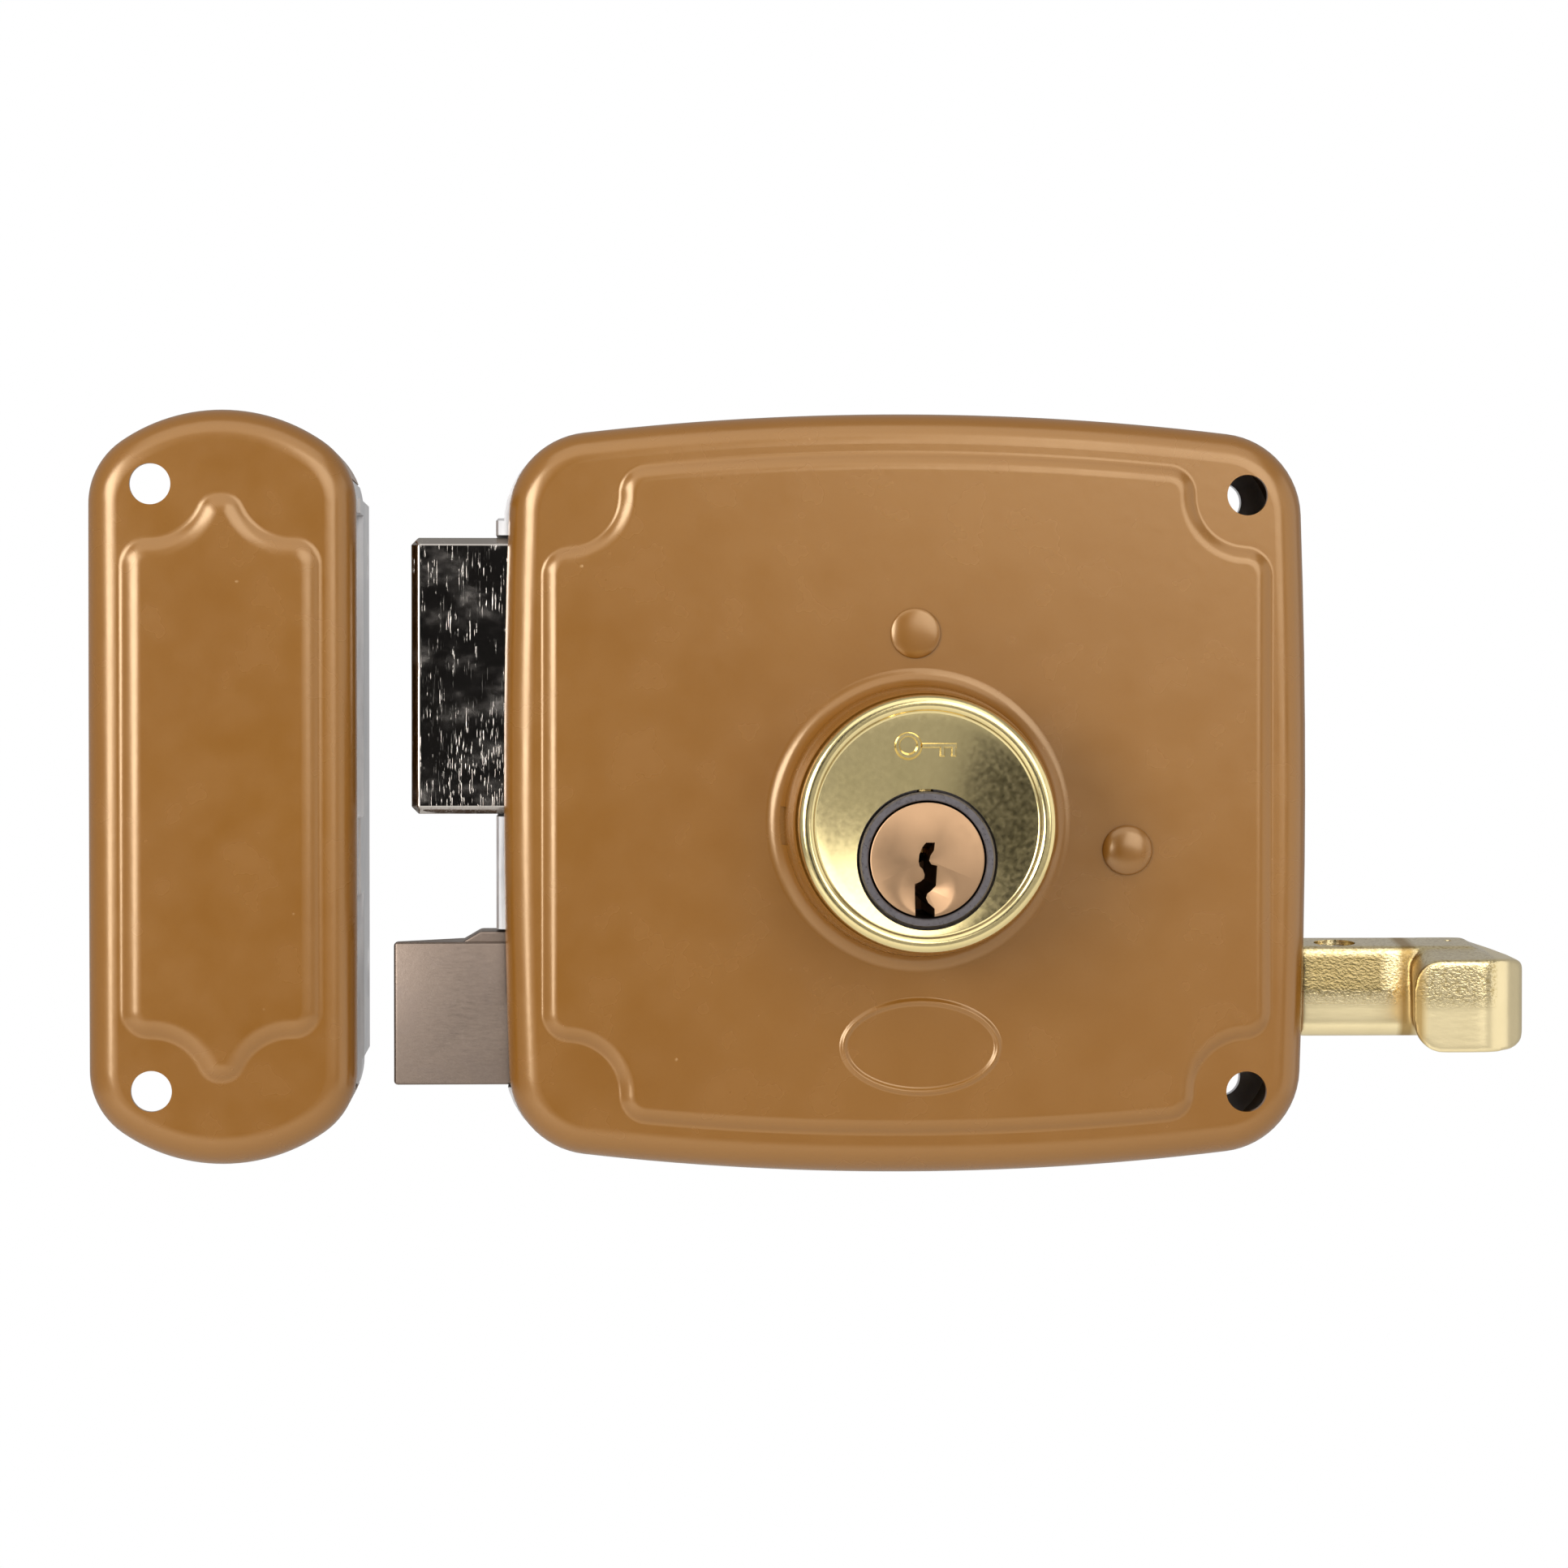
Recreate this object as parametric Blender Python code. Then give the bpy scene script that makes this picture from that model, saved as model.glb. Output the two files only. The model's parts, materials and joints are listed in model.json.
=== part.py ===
"""Rim night latch: a surface-mounted lock case with its box strike, built from separate pieces.

Frame: the origin is the middle of the base plate's back face, which rests on the door. +X points
from the strike towards the door's hinges, +Z is up, and the front of the lock faces -Y.
All values are in metres. Pieces that touch on the bench keep GAP between them.
"""

import math

import bmesh
import bpy
from mathutils import Matrix, Vector

MM = 0.001
GAP = 0.3 * MM
THROUGH = 1.0 * MM  # how far a cutter runs past what it cuts

# Lock case: a pressed sheet cover over a base plate.
CASE_HALF_W = 47.5 * MM
CASE_HALF_H = 44.8 * MM
CASE_SIDE_BOW = 900.0 * MM  # radius of the long, slightly bowed sides
CASE_END_BOW = 325.0 * MM
CASE_CORNER = 10.0 * MM
CASE_DEPTH = 24.0 * MM
SHEET = 1.0 * MM
PLATE = 1.5 * MM
HOLE_SIDES = 32
EDGE_ROUND = 3.6 * MM
PANEL_RAISE = 0.8 * MM
FACE_Y = -CASE_DEPTH
COVER_BACK_Y = -(PLATE + GAP)
PANEL_Y = FACE_Y - PANEL_RAISE

CASE_PANEL_HALF_W = 43.2 * MM
CASE_PANEL_HALF_H = 40.3 * MM
CASE_PANEL_SLOPE = 2.2 * MM
CASE_PANEL_FILLET = 3.5 * MM
CORNER_HOLE = Vector((40.1 * MM, 0.0, 35.2 * MM))  # the panel's corners bend round these points
SCALLOP = 6.0 * MM
SCREW_HOLE = 2.4 * MM

# Forend: the base plate's flange at the bolts, and the lip that wraps the door's edge.
FLANGE_OUT = 0.5 * MM
FLANGE_IN = 0.6 * MM
FLANGE_WRAP = math.radians(44)
FLANGE_FRONT_Y = -19.9 * MM
LIP_HALF_H = 32.5 * MM
LIP_DEPTH = 9.0 * MM
LIP_X = (-48.4 * MM, -46.9 * MM)
LIP_SCREW_Z = 24.0 * MM
LIP_SCREW_HOLE = 2.2 * MM
BOLT_Y = (-19.7 * MM, -8.0 * MM)  # both bolts share one depth
NOTCH_BACK_Y = BOLT_Y[1] + GAP

# Key cylinder, on the plug's axis.
AXIS = Vector((1.15 * MM, 0.0, -7.2 * MM))
BOSS_Z = -3.1 * MM
BOSS_BASE = 17.5 * MM
BOSS_WALL = 15.8 * MM
BOSS_END = 15.1 * MM
BOSS_BORE = 14.0 * MM
BOSS_FRONT_Y = -35.8 * MM
ROSE_RADIUS = 14.8 * MM
ROSE_FRONT_Y = -40.0 * MM
ROSE_RIM = 2.1 * MM
ROSE_HOLE = 8.1 * MM
BODY_RADIUS = 13.6 * MM
BODY_Y = (-35.5 * MM, -17.6 * MM)
NOSE_RADIUS = 7.8 * MM
NOSE_FRONT_Y = -39.4 * MM
PLUG_RADIUS = 6.6 * MM
PLUG_BORE = 6.8 * MM
PLUG_Y = (-39.3 * MM, -16.1 * MM)
KEYWAY = (  # its outline from the plug's axis in millimetres, down the right side and up the left
    (0.85, 1.98), (0.74, 1.10), (0.32, 0.42), (0.20, -0.10), (0.45, -0.52), (1.12, -0.68), (1.05, -3.0),
    (0.62, -3.5), (0.06, -3.95), (-0.08, -4.4), (0.14, -4.95), (0.83, -5.6), (0.83, -7.6),
    (-1.40, -7.6), (-1.40, -2.82), (-0.70, -2.5), (-0.32, -2.15), (-0.28, -1.7), (-0.52, -1.1),
    (-0.88, -0.75), (-1.03, -0.2), (-0.95, 0.6), (-0.60, 1.46), (-0.16, 1.98),
)
PIN_RADIUS = 1.35 * MM
PIN_HOLE = 1.6 * MM
PIN_FIRST_Y = -34.2 * MM
PIN_PITCH = 3.7 * MM
KEY_PIN_LENGTHS = (5.2 * MM, 6.6 * MM, 5.8 * MM, 7.2 * MM, 6.0 * MM)
DRIVER_LENGTH = 4.0 * MM
CHAMBER_TOP = 9.0 * MM

# Cam: it sits on the plug's tail blade and drives the deadbolt's tail.
CAM_Y = (-15.8 * MM, -13.2 * MM)
CAM_HUB = 5.9 * MM
CAM_REACH = 10.0 * MM
FINGER_TIP = 2.0 * MM
BLADE_HALF_W = 3.7 * MM
BLADE_HALF_T = 1.0 * MM
BLADE_BACK_Y = -7.0 * MM
HUB_HOLE = 6.3 * MM

# Deadbolt.
THROW = 10.5 * MM
DEADBOLT_X = (-58.4 * MM, -30.0 * MM)
DEADBOLT_Z = (-2.4 * MM, 30.2 * MM)
TAIL_X = (-40.2 * MM, 19.0 * MM)
TAIL_Y = (-15.7 * MM, -13.3 * MM)
TAIL_Z = (-1.5 * MM, 26.0 * MM)
TAIL_RIVETS = ((-35.0 * MM, 5.0 * MM), (-35.0 * MM, 21.0 * MM))
RIVET = 1.4 * MM
DETENT_X = 2.0 * MM
DETENT_DEPTH = 1.2 * MM
DETENT_BEND = 2.4 * MM
DETENT_POST = Vector((22.0 * MM, 0.0, 33.0 * MM))
DETENT_POST_RADIUS = 2.2 * MM
LEAF = 0.5 * MM

# Pillars that carry the cover, riveted to it and screwed to the base plate.
PILLARS = (("pillar_upper", 0.8 * MM, 18.9 * MM, 0.6 * MM), ("pillar_lower", 25.8 * MM, -6.6 * MM, 1.1 * MM))
PILLAR_RADIUS = 3.0 * MM
PILLAR_HEAD = 2.95 * MM
PILLAR_NECK = 1.6 * MM
PILLAR_BORE = 1.7 * MM
PILLAR_SCREW = 1.4 * MM

# Latch bolt, its draw bar, spring and pull handle.
LATCH_X = (-60.5 * MM, -40.0 * MM)
LATCH_Z = (-34.4 * MM, -17.5 * MM)
LATCH_SHOULDER_Z = -16.3 * MM
LATCH_BEVEL_X = -50.5 * MM
LATCH_TIP_Y = -18.0 * MM
BAR_X = (-44.7 * MM, 58.5 * MM)
BAR_Y = (-13.5 * MM, -9.5 * MM)
BAR_Z = (-26.6 * MM, -20.4 * MM)
LATCH_PIN_X = -42.5 * MM
LATCH_PIN = 1.2 * MM
ROD_Y = -13.0 * MM
ROD_Z = -30.8 * MM
ROD_RADIUS = 1.2 * MM
ROD_X = (-45.5 * MM, -4.0 * MM)
BRACKET_X = (-9.2 * MM, -8.0 * MM)
SPRING_RADIUS = 2.5 * MM
SPRING_WIRE = 0.45 * MM
SPRING_TURNS = 9
HANDLE_SCREW_X = 52.5 * MM
HANDLE_SCREW_Y = -11.5 * MM

# Box strike.
STRIKE_X = -80.45 * MM
STRIKE_HALF_W = 15.7 * MM
STRIKE_HALF_H = 44.35 * MM
STRIKE_RAISE = 0.8 * MM  # the strike sits this much higher than the case
STRIKE_WRAP = math.radians(18)
STRIKE_WALL = 1.0 * MM  # the plate's front wall is flush with the cover
STRIKE_CORNER = 9.0 * MM
STRIKE_END_BOW = 20.7 * MM
STRAIGHT = 20.0  # a bow this large is a straight line
STRIKE_PANEL_HALF_W = 11.9 * MM
STRIKE_PANEL_HALF_H = 35.0 * MM
STRIKE_PANEL_SLOPE = 1.6 * MM
STRIKE_HOLE = Vector((8.2 * MM, 0.0, 35.5 * MM))
STRIKE_END_FILLET = 2.6 * MM
STRIKE_LEG_X = (-84.0 * MM, -65.0 * MM)
STRIKE_LEG_HALF_H = 30.0 * MM
STRIKE_LIP_X = (-66.0 * MM, -64.5 * MM)
STRIKE_LIP_Z = (-33.0 * MM, 34.4 * MM)
STRIKE_LIP_SCREWS = (26.7 * MM, -23.3 * MM)
STRIKE_LIP_HOLE = 2.2 * MM
STRIKE_NOTCHES = ((-3.8 * MM, 32.4 * MM), (-36.2 * MM, -12.8 * MM))
TAB_HALF_W = 3.2 * MM
TAB_Z = (41.3 * MM, 42.6 * MM)
TAB_FRONT_Y = -11.0 * MM
STRIKE_RIVET_Y = -6.5 * MM


# ---------------------------------------------------------------- modelling helpers

def material(name, colour, metallic, roughness):
    made = bpy.data.materials.new(name)
    made.use_nodes = True
    shader = made.node_tree.nodes["Principled BSDF"]
    shader.inputs["Base Color"].default_value = (*colour, 1.0)
    shader.inputs["Metallic"].default_value = metallic
    shader.inputs["Roughness"].default_value = roughness
    made.diffuse_color = (*colour, 1.0)
    return made


def add(name, bm):
    """Links a closed mesh to the scene with its faces pointing outwards."""
    bmesh.ops.recalc_face_normals(bm, faces=bm.faces[:])
    mesh = bpy.data.meshes.new(name)
    bm.to_mesh(mesh)
    bm.free()
    mesh.shade_smooth()
    mesh.set_sharp_from_angle(angle=math.radians(35))
    obj = bpy.data.objects.new(name, mesh)
    bpy.context.scene.collection.objects.link(obj)
    return obj


def loft(name, rings):
    """A closed solid through rings of equally many points, with a flat face at each end."""
    bm = bmesh.new()
    loops = [[bm.verts.new(point) for point in ring] for ring in rings]
    for low, high in zip(loops, loops[1:]):
        for i in range(len(low)):
            j = (i + 1) % len(low)
            bm.faces.new((low[i], low[j], high[j], high[i]))
    bm.faces.new(loops[0])
    bm.faces.new(loops[-1])
    return add(name, bm)


def ring_y(outline, y, centre_x=0.0):
    return [(x + centre_x, y, z) for x, z in outline]


def prism_y(name, outline, y0, y1, centre_x=0.0):
    """An (x, z) outline extruded along Y."""
    return loft(name, [ring_y(outline, y0, centre_x), ring_y(outline, y1, centre_x)])


def prism_z(name, outline, z0, z1):
    """An (x, y) outline extruded along Z."""
    return loft(name, [[(x, y, z) for x, y in outline] for z in (z0, z1)])


def box(name, x, y, z):
    outline = ((x[0], z[0]), (x[1], z[0]), (x[1], z[1]), (x[0], z[1]))
    return prism_y(name, outline, *y)


def turned(name, profile, at=(0.0, 0.0, 0.0), axis="Y", sides=32, hollow=False):
    """A profile of (radius, distance along the axis) turned about an axis through the point at."""
    turn = {"X": Matrix.Rotation(math.pi / 2, 4, "Y"), "Y": Matrix.Rotation(-math.pi / 2, 4, "X"),
            "Z": Matrix.Identity(4)}[axis]
    bm = bmesh.new()
    loops = []
    for radius, along in profile:
        angles = [2 * math.pi * k / sides for k in range(sides)] if radius > 0 else [0.0]
        loops.append([bm.verts.new((radius * math.cos(a), radius * math.sin(a), along)) for a in angles])
    pairs = list(zip(loops, loops[1:]))
    if hollow:
        pairs.append((loops[-1], loops[0]))
    for low, high in pairs:
        for k in range(sides):
            n = (k + 1) % sides
            corners = [low[k % len(low)], low[n % len(low)], high[n % len(high)], high[k % len(high)]]
            bm.faces.new(list(dict.fromkeys(corners)))
    bmesh.ops.transform(bm, matrix=Matrix.Translation(at) @ turn, verts=bm.verts[:])
    return add(name, bm)


def rod(name, radius, start, end, at, axis="Y", sides=24):
    return turned(name, ((0, start), (radius, start), (radius, end), (0, end)), at, axis, sides)


def helper(*objects):
    for obj in objects:
        obj.hide_render = True
        obj.display_type = "WIRE"


def combine(obj, operation, others):
    for other in others:
        modifier = obj.modifiers.new(f"{operation.lower()}_{other.name}", "BOOLEAN")
        modifier.operation = operation
        modifier.object = other
        modifier.solver = "EXACT"
        helper(other)
    return obj


def join(obj, *others):
    return combine(obj, "UNION", others)


def cut(obj, *others):
    return combine(obj, "DIFFERENCE", others)


def bevel(obj, width, segments=2):
    modifier = obj.modifiers.new("bevel", "BEVEL")
    modifier.width = width
    modifier.segments = segments
    modifier.limit_method = "ANGLE"
    return obj


def coil(name, start, length, radius, wire, turns, axis, points=10):
    """A compression spring: a round wire wound about an axis from the point start."""
    curve = bpy.data.curves.new(name, "CURVE")
    curve.dimensions = "3D"
    curve.bevel_depth = wire
    curve.bevel_resolution = 0
    curve.use_fill_caps = True
    spline = curve.splines.new("POLY")
    count = turns * points + 1
    spline.points.add(count - 1)
    for k in range(count):
        angle = 2 * math.pi * k / points
        across = (radius * math.cos(angle), radius * math.sin(angle))
        along = length * k / (count - 1)
        offset = {"X": (along, *across), "Z": (*across, along)}[axis]
        spline.points[k].co = (*(Vector(start) + Vector(offset)), 1.0)
    obj = bpy.data.objects.new(name, curve)
    bpy.context.scene.collection.objects.link(obj)
    return obj


def arc(centre, radius, start, end, steps):
    """Points on an arc in the X-Z plane, ends included."""
    angles = [start + (end - start) * k / steps for k in range(steps + 1)]
    return [(centre[0] + radius * math.cos(a), centre[1] + radius * math.sin(a)) for a in angles]


def four_quadrants(quarter):
    """The whole outline from its first quadrant, which runs from the +X axis to the +Z axis."""
    half = quarter + [(-x, z) for x, z in reversed(quarter)]
    whole = half + [(x, -z) for x, z in reversed(half)]
    kept = [p for k, p in enumerate(whole) if math.dist(p, whole[k - 1]) > 1e-7]
    return kept


def ribbon(path, thickness):
    """The outline of a strip of even thickness along a path in the X-Z plane."""
    left, right = [], []
    for k, point in enumerate(path):
        before = Vector(path[max(k - 1, 0)])
        after = Vector(path[min(k + 1, len(path) - 1)])
        along = (after - before).normalized()
        across = Vector((-along.y, along.x)) * thickness / 2
        left.append(tuple(Vector(point) + across))
        right.append(tuple(Vector(point) - across))
    return left + right[::-1]


# ---------------------------------------------------------------- outlines

class BowedOutline:
    """A rectangle whose four sides are long arcs, joined by round corners. Insets share its centres."""

    def __init__(self, half_w, half_h, side_bow, end_bow, corner):
        self.side_centre = (half_w - side_bow, 0.0)
        self.end_centre = (0.0, half_h - end_bow)
        self.side_bow = side_bow
        self.end_bow = end_bow
        self.corner = corner
        x, z = half_w - corner, half_h - corner
        for _ in range(30):
            x = self.side_centre[0] + math.sqrt((side_bow - corner) ** 2 - z ** 2)
            z = self.end_centre[1] + math.sqrt((end_bow - corner) ** 2 - x ** 2)
        self.corner_centre = (x, z)
        self.side_angle = math.atan2(z, x - self.side_centre[0])
        self.end_angle = math.atan2(z - self.end_centre[1], x)

    def points(self, inset=0.0):
        side = arc(self.side_centre, self.side_bow - inset, 0.0, self.side_angle, 2)
        corner = arc(self.corner_centre, self.corner - inset, self.side_angle, self.end_angle, 5)
        end = arc(self.end_centre, self.end_bow - inset, self.end_angle, math.pi / 2, 3)
        return four_quadrants(side + corner[1:] + end[1:])

    def side_strip(self, outer, inner, wrap, facing, taper=0.0):
        """A strip along one side (facing is 1 for +X), bent round both corners by the angle wrap.

        Its outer face draws in by taper towards the strip's ends.
        """
        def edge(inset, draw_in):
            upper = arc(self.side_centre, self.side_bow - inset, 0.0, self.side_angle, 2)
            steps = 4
            for k in range(1, steps + 1):
                angle = self.side_angle + (wrap - self.side_angle) * k / steps
                radius = self.corner - inset - draw_in * k / steps
                upper += arc(self.corner_centre, radius, angle, angle, 1)[:1]
            lower = [(x, -z) for x, z in reversed(upper[1:])]
            return [(x * facing, z) for x, z in lower + upper]
        return edge(-outer, taper) + edge(inner, 0.0)[::-1]


def panel_outline(half_w, half_h, end_bow, hole, side_fillet, end_fillet, inset=0.0):
    """A panel whose corners bend inwards round the screw holes, with rounded shoulders beside each bend."""
    hole_at = (hole.x, hole.z)
    side_x = half_w - side_fillet
    side_z = hole.z - math.sqrt((SCALLOP + side_fillet) ** 2 - (side_x - hole.x) ** 2)
    end_centre = (0.0, half_h - end_bow)
    end_x, end_z = 0.0, 0.0
    for _ in range(30):
        end_z = end_centre[1] + math.sqrt((end_bow - end_fillet) ** 2 - end_x ** 2)
        end_x = hole.x - math.sqrt((SCALLOP + end_fillet) ** 2 - (end_z - hole.z) ** 2)
    to_side = math.atan2(side_z - hole.z, side_x - hole.x)
    to_end = math.atan2(end_z - hole.z, end_x - hole.x)
    if to_end > 0:
        to_end -= 2 * math.pi
    end_normal = math.atan2(end_z - end_centre[1], end_x)
    side_round = arc((side_x, side_z), side_fillet - inset, 0.0, to_side + math.pi, 3)
    bend = arc(hole_at, SCALLOP + inset, to_side, to_end, 5)
    end_round = arc((end_x, end_z), end_fillet - inset, to_end + math.pi, end_normal, 3)
    end = arc(end_centre, end_bow - inset, end_normal, math.pi / 2, 2)
    quarter = [(half_w - inset, 0.0)] + side_round + bend[1:] + end_round[1:] + end[1:]
    return four_quadrants(quarter)


CASE = BowedOutline(CASE_HALF_W, CASE_HALF_H, CASE_SIDE_BOW, CASE_END_BOW, CASE_CORNER)
STRIKE = BowedOutline(STRIKE_HALF_W, STRIKE_HALF_H, STRAIGHT, STRIKE_END_BOW, STRIKE_CORNER)


def case_panel(inset=0.0):
    return panel_outline(CASE_PANEL_HALF_W, CASE_PANEL_HALF_H, CASE_END_BOW, CORNER_HOLE,
                         CASE_PANEL_FILLET, CASE_PANEL_FILLET, inset)


def strike_panel(inset=0.0):
    return panel_outline(STRIKE_PANEL_HALF_W, STRIKE_PANEL_HALF_H, STRAIGHT, STRIKE_HOLE,
                         CASE_PANEL_FILLET, STRIKE_END_FILLET, inset)


# ---------------------------------------------------------------- sheet covers

def skin(name, outline, inset, face_y, back_y, edge, centre_x):
    """The solid under one skin of a cover: straight walls and a rounded front edge."""
    steps = 3
    rings = [ring_y(outline.points(inset), back_y, centre_x)]
    for k in range(steps + 1):
        a = math.pi / 2 * k / steps
        y = face_y + edge * (1 - math.sin(a))
        rings.append(ring_y(outline.points(inset + edge * (1 - math.cos(a))), y, centre_x))
    return loft(name, rings)


def pressed_cover(name, outline, panel, slope, centre_x):
    """A hollow sheet cover, open at the back, with a raised panel on its face."""
    cover = skin(name, outline, 0.0, FACE_Y, COVER_BACK_Y, EDGE_ROUND, centre_x)
    bite = 0.4 * MM
    raised = loft(f"{name}_panel_outside", [
        ring_y(panel(0.0), FACE_Y + bite, centre_x),
        ring_y(panel(0.0), FACE_Y, centre_x),
        ring_y(panel(slope), PANEL_Y, centre_x),
    ])
    hollow = skin(f"{name}_hollow", outline, SHEET, FACE_Y + SHEET, COVER_BACK_Y + THROUGH,
                  EDGE_ROUND - SHEET, centre_x)
    inset = GAP
    panel_hollow = loft(f"{name}_panel_hollow", [
        ring_y(panel(inset), FACE_Y + SHEET + bite, centre_x),
        ring_y(panel(inset), FACE_Y + SHEET, centre_x),
        ring_y(panel(inset + slope), PANEL_Y + SHEET, centre_x),
    ])
    join(cover, raised)
    return cut(cover, hollow, panel_hollow)


def make_case_cover():
    cover = pressed_cover("case_cover", CASE, case_panel, CASE_PANEL_SLOPE, 0.0)
    boss_at = (AXIS.x, 0.0, BOSS_Z)
    boss = turned("boss", (
        (0, PANEL_Y + 0.5 * MM), (BOSS_BASE + 0.2 * MM, PANEL_Y + 0.5 * MM),
        (BOSS_BASE, PANEL_Y - 0.1 * MM), (BOSS_BASE - 0.9 * MM, PANEL_Y - 0.5 * MM),
        (BOSS_WALL + 0.2 * MM, PANEL_Y - 1.7 * MM), (BOSS_WALL, PANEL_Y - 3.5 * MM),
        (BOSS_WALL - 0.3 * MM, BOSS_FRONT_Y + 0.5 * MM), (BOSS_END, BOSS_FRONT_Y), (0, BOSS_FRONT_Y),
    ), boss_at, sides=36)
    oval_at = Vector((1.45 * MM, 0.0, -29.7 * MM))
    ellipse = arc((0.0, 0.0), 1.0, 0.0, 2 * math.pi, 24)[:-1]
    ridge_outer = [(oval_at.x + x * 9.6 * MM, oval_at.z + z * 5.8 * MM) for x, z in ellipse]
    ridge_inner = [(oval_at.x + x * 8.7 * MM, oval_at.z + z * 4.9 * MM) for x, z in ellipse]
    ridge = prism_y("oval_ridge", ridge_outer, PANEL_Y + 0.3 * MM, PANEL_Y - 0.35 * MM)
    ridge_well = prism_y("oval_well", ridge_inner, PANEL_Y, PANEL_Y - THROUGH)
    join(cover, boss)
    join(cover, cut(ridge, ridge_well))
    bore = rod("boss_bore", BOSS_BORE, BOSS_FRONT_Y - THROUGH, FACE_Y + SHEET + THROUGH, boss_at, sides=36)
    cut(cover, bore)
    for name, x, z, _ in PILLARS:
        hole = rod(f"{name}_hole", PILLAR_NECK + GAP, PANEL_Y - THROUGH, PANEL_Y + SHEET + THROUGH,
                   (x, 0, z), sides=16)
        cut(cover, hole)
    for side in (1, -1):
        hole = rod(f"cover_screw_hole_{side}", SCREW_HOLE, FACE_Y - THROUGH, FACE_Y + SHEET + THROUGH,
                   (CORNER_HOLE.x, 0, side * CORNER_HOLE.z), sides=20)
        cut(cover, hole)
    forend_gap = CASE.side_strip(FLANGE_OUT + THROUGH, SHEET + GAP, FLANGE_WRAP + 0.035, -1)
    cut(cover, prism_y("forend_gap", forend_gap, FLANGE_FRONT_Y - GAP, COVER_BACK_Y + THROUGH))
    bar_slot = box("bar_slot", (44 * MM, 49 * MM), (BAR_Y[0] - GAP, BAR_Y[1] + GAP),
                   (BAR_Z[0] - 2 * GAP, BAR_Z[1] + 2 * GAP))
    return cut(cover, bar_slot)


# ---------------------------------------------------------------- base plate

def make_base_plate():
    plate = prism_y("base_plate", CASE.points(0.2 * MM), -PLATE, 0.0)
    flange = prism_y("forend_flange", CASE.side_strip(FLANGE_OUT, FLANGE_IN, FLANGE_WRAP, -1, FLANGE_OUT),
                     FLANGE_FRONT_Y, -0.4 * MM)
    lip = box("door_lip", LIP_X, (FLANGE_FRONT_Y + 0.2 * MM, LIP_DEPTH), (-LIP_HALF_H, LIP_HALF_H))
    join(plate, flange, bevel(lip, 0.3 * MM, 1))
    notch_x = (LIP_X[0] - THROUGH, LIP_X[1] + 2 * THROUGH)
    notch_y = (FLANGE_FRONT_Y - THROUGH, NOTCH_BACK_Y)
    deadbolt_z = (DEADBOLT_Z[0] - GAP, DEADBOLT_Z[1] + GAP)
    latch_z = (LATCH_Z[0] - GAP, LATCH_SHOULDER_Z + GAP)
    cut(plate, box("deadbolt_notch", notch_x, notch_y, deadbolt_z),
        box("latch_notch", notch_x, notch_y, latch_z))
    for side in (1, -1):
        corner = (CORNER_HOLE.x, 0, side * CORNER_HOLE.z)
        cylinder_screw = (AXIS.x, 0, AXIS.z + side * 17.5 * MM)
        cut(plate, rod(f"plate_screw_hole_{side}", SCREW_HOLE, -3 * MM, THROUGH, corner, sides=HOLE_SIDES),
            rod(f"cylinder_screw_hole_{side}", 2.6 * MM, -3 * MM, THROUGH, cylinder_screw, sides=HOLE_SIDES),
            rod(f"lip_screw_hole_{side}", LIP_SCREW_HOLE, LIP_X[0] - THROUGH, LIP_X[1] + THROUGH,
                (0, LIP_DEPTH / 2, side * LIP_SCREW_Z), "X", HOLE_SIDES))
    cut(plate, rod("hub_hole", HUB_HOLE, -3 * MM, THROUGH, AXIS, sides=HOLE_SIDES))
    for name, x, z, _ in PILLARS:
        cone = ((0, -2 * MM), (1.65 * MM, -2 * MM), (1.65 * MM, -PLATE), (3.1 * MM, 0.05 * MM),
                (3.1 * MM, THROUGH), (0, THROUGH))
        cut(plate, turned(f"{name}_countersink", cone, (x, 0, z), sides=HOLE_SIDES))
    return plate


# ---------------------------------------------------------------- pillars and their screws

def make_pillar(name, x, z, dome):
    shoulder_y = PANEL_Y + SHEET + GAP
    head_y = PANEL_Y - GAP
    pillar = turned(name, (
        (0, COVER_BACK_Y), (PILLAR_RADIUS, COVER_BACK_Y), (PILLAR_RADIUS, shoulder_y),
        (PILLAR_NECK, shoulder_y), (PILLAR_NECK, head_y), (PILLAR_HEAD, head_y),
        (PILLAR_HEAD - 0.2 * MM, head_y - dome * 0.4), (PILLAR_HEAD * 0.6, head_y - dome * 0.85),
        (0, head_y - dome),
    ), (x, 0, z), sides=16)
    bore = rod(f"{name}_bore", PILLAR_BORE, COVER_BACK_Y + THROUGH, -9.5 * MM, (x, 0, z), sides=16)
    return cut(pillar, bore)


def make_pillar_screw(name, x, z):
    return turned(name, (
        (0, -0.15 * MM), (2.7 * MM, -0.15 * MM), (PILLAR_SCREW, -PLATE), (PILLAR_SCREW, -8.6 * MM),
        (0, -8.9 * MM),
    ), (x, 0, z), sides=16)


# ---------------------------------------------------------------- key cylinder

def make_rose():
    dish = ROSE_RADIUS - ROSE_RIM
    rose = turned("cylinder_rose", (
        (0, BOSS_FRONT_Y - GAP), (ROSE_RADIUS - 0.4 * MM, BOSS_FRONT_Y - GAP),
        (ROSE_RADIUS, BOSS_FRONT_Y - 0.8 * MM), (ROSE_RADIUS, ROSE_FRONT_Y + 0.5 * MM),
        (ROSE_RADIUS - 0.5 * MM, ROSE_FRONT_Y), (dish + 0.3 * MM, ROSE_FRONT_Y),
        (dish, ROSE_FRONT_Y + 0.7 * MM), (dish * 0.5, ROSE_FRONT_Y + 1.4 * MM),
        (0, ROSE_FRONT_Y + 1.7 * MM),
    ), (AXIS.x, 0, BOSS_Z), sides=40)
    hole = rod("rose_hole", ROSE_HOLE, ROSE_FRONT_Y - THROUGH, BOSS_FRONT_Y + THROUGH, AXIS, sides=40)
    return cut(rose, hole)


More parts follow.
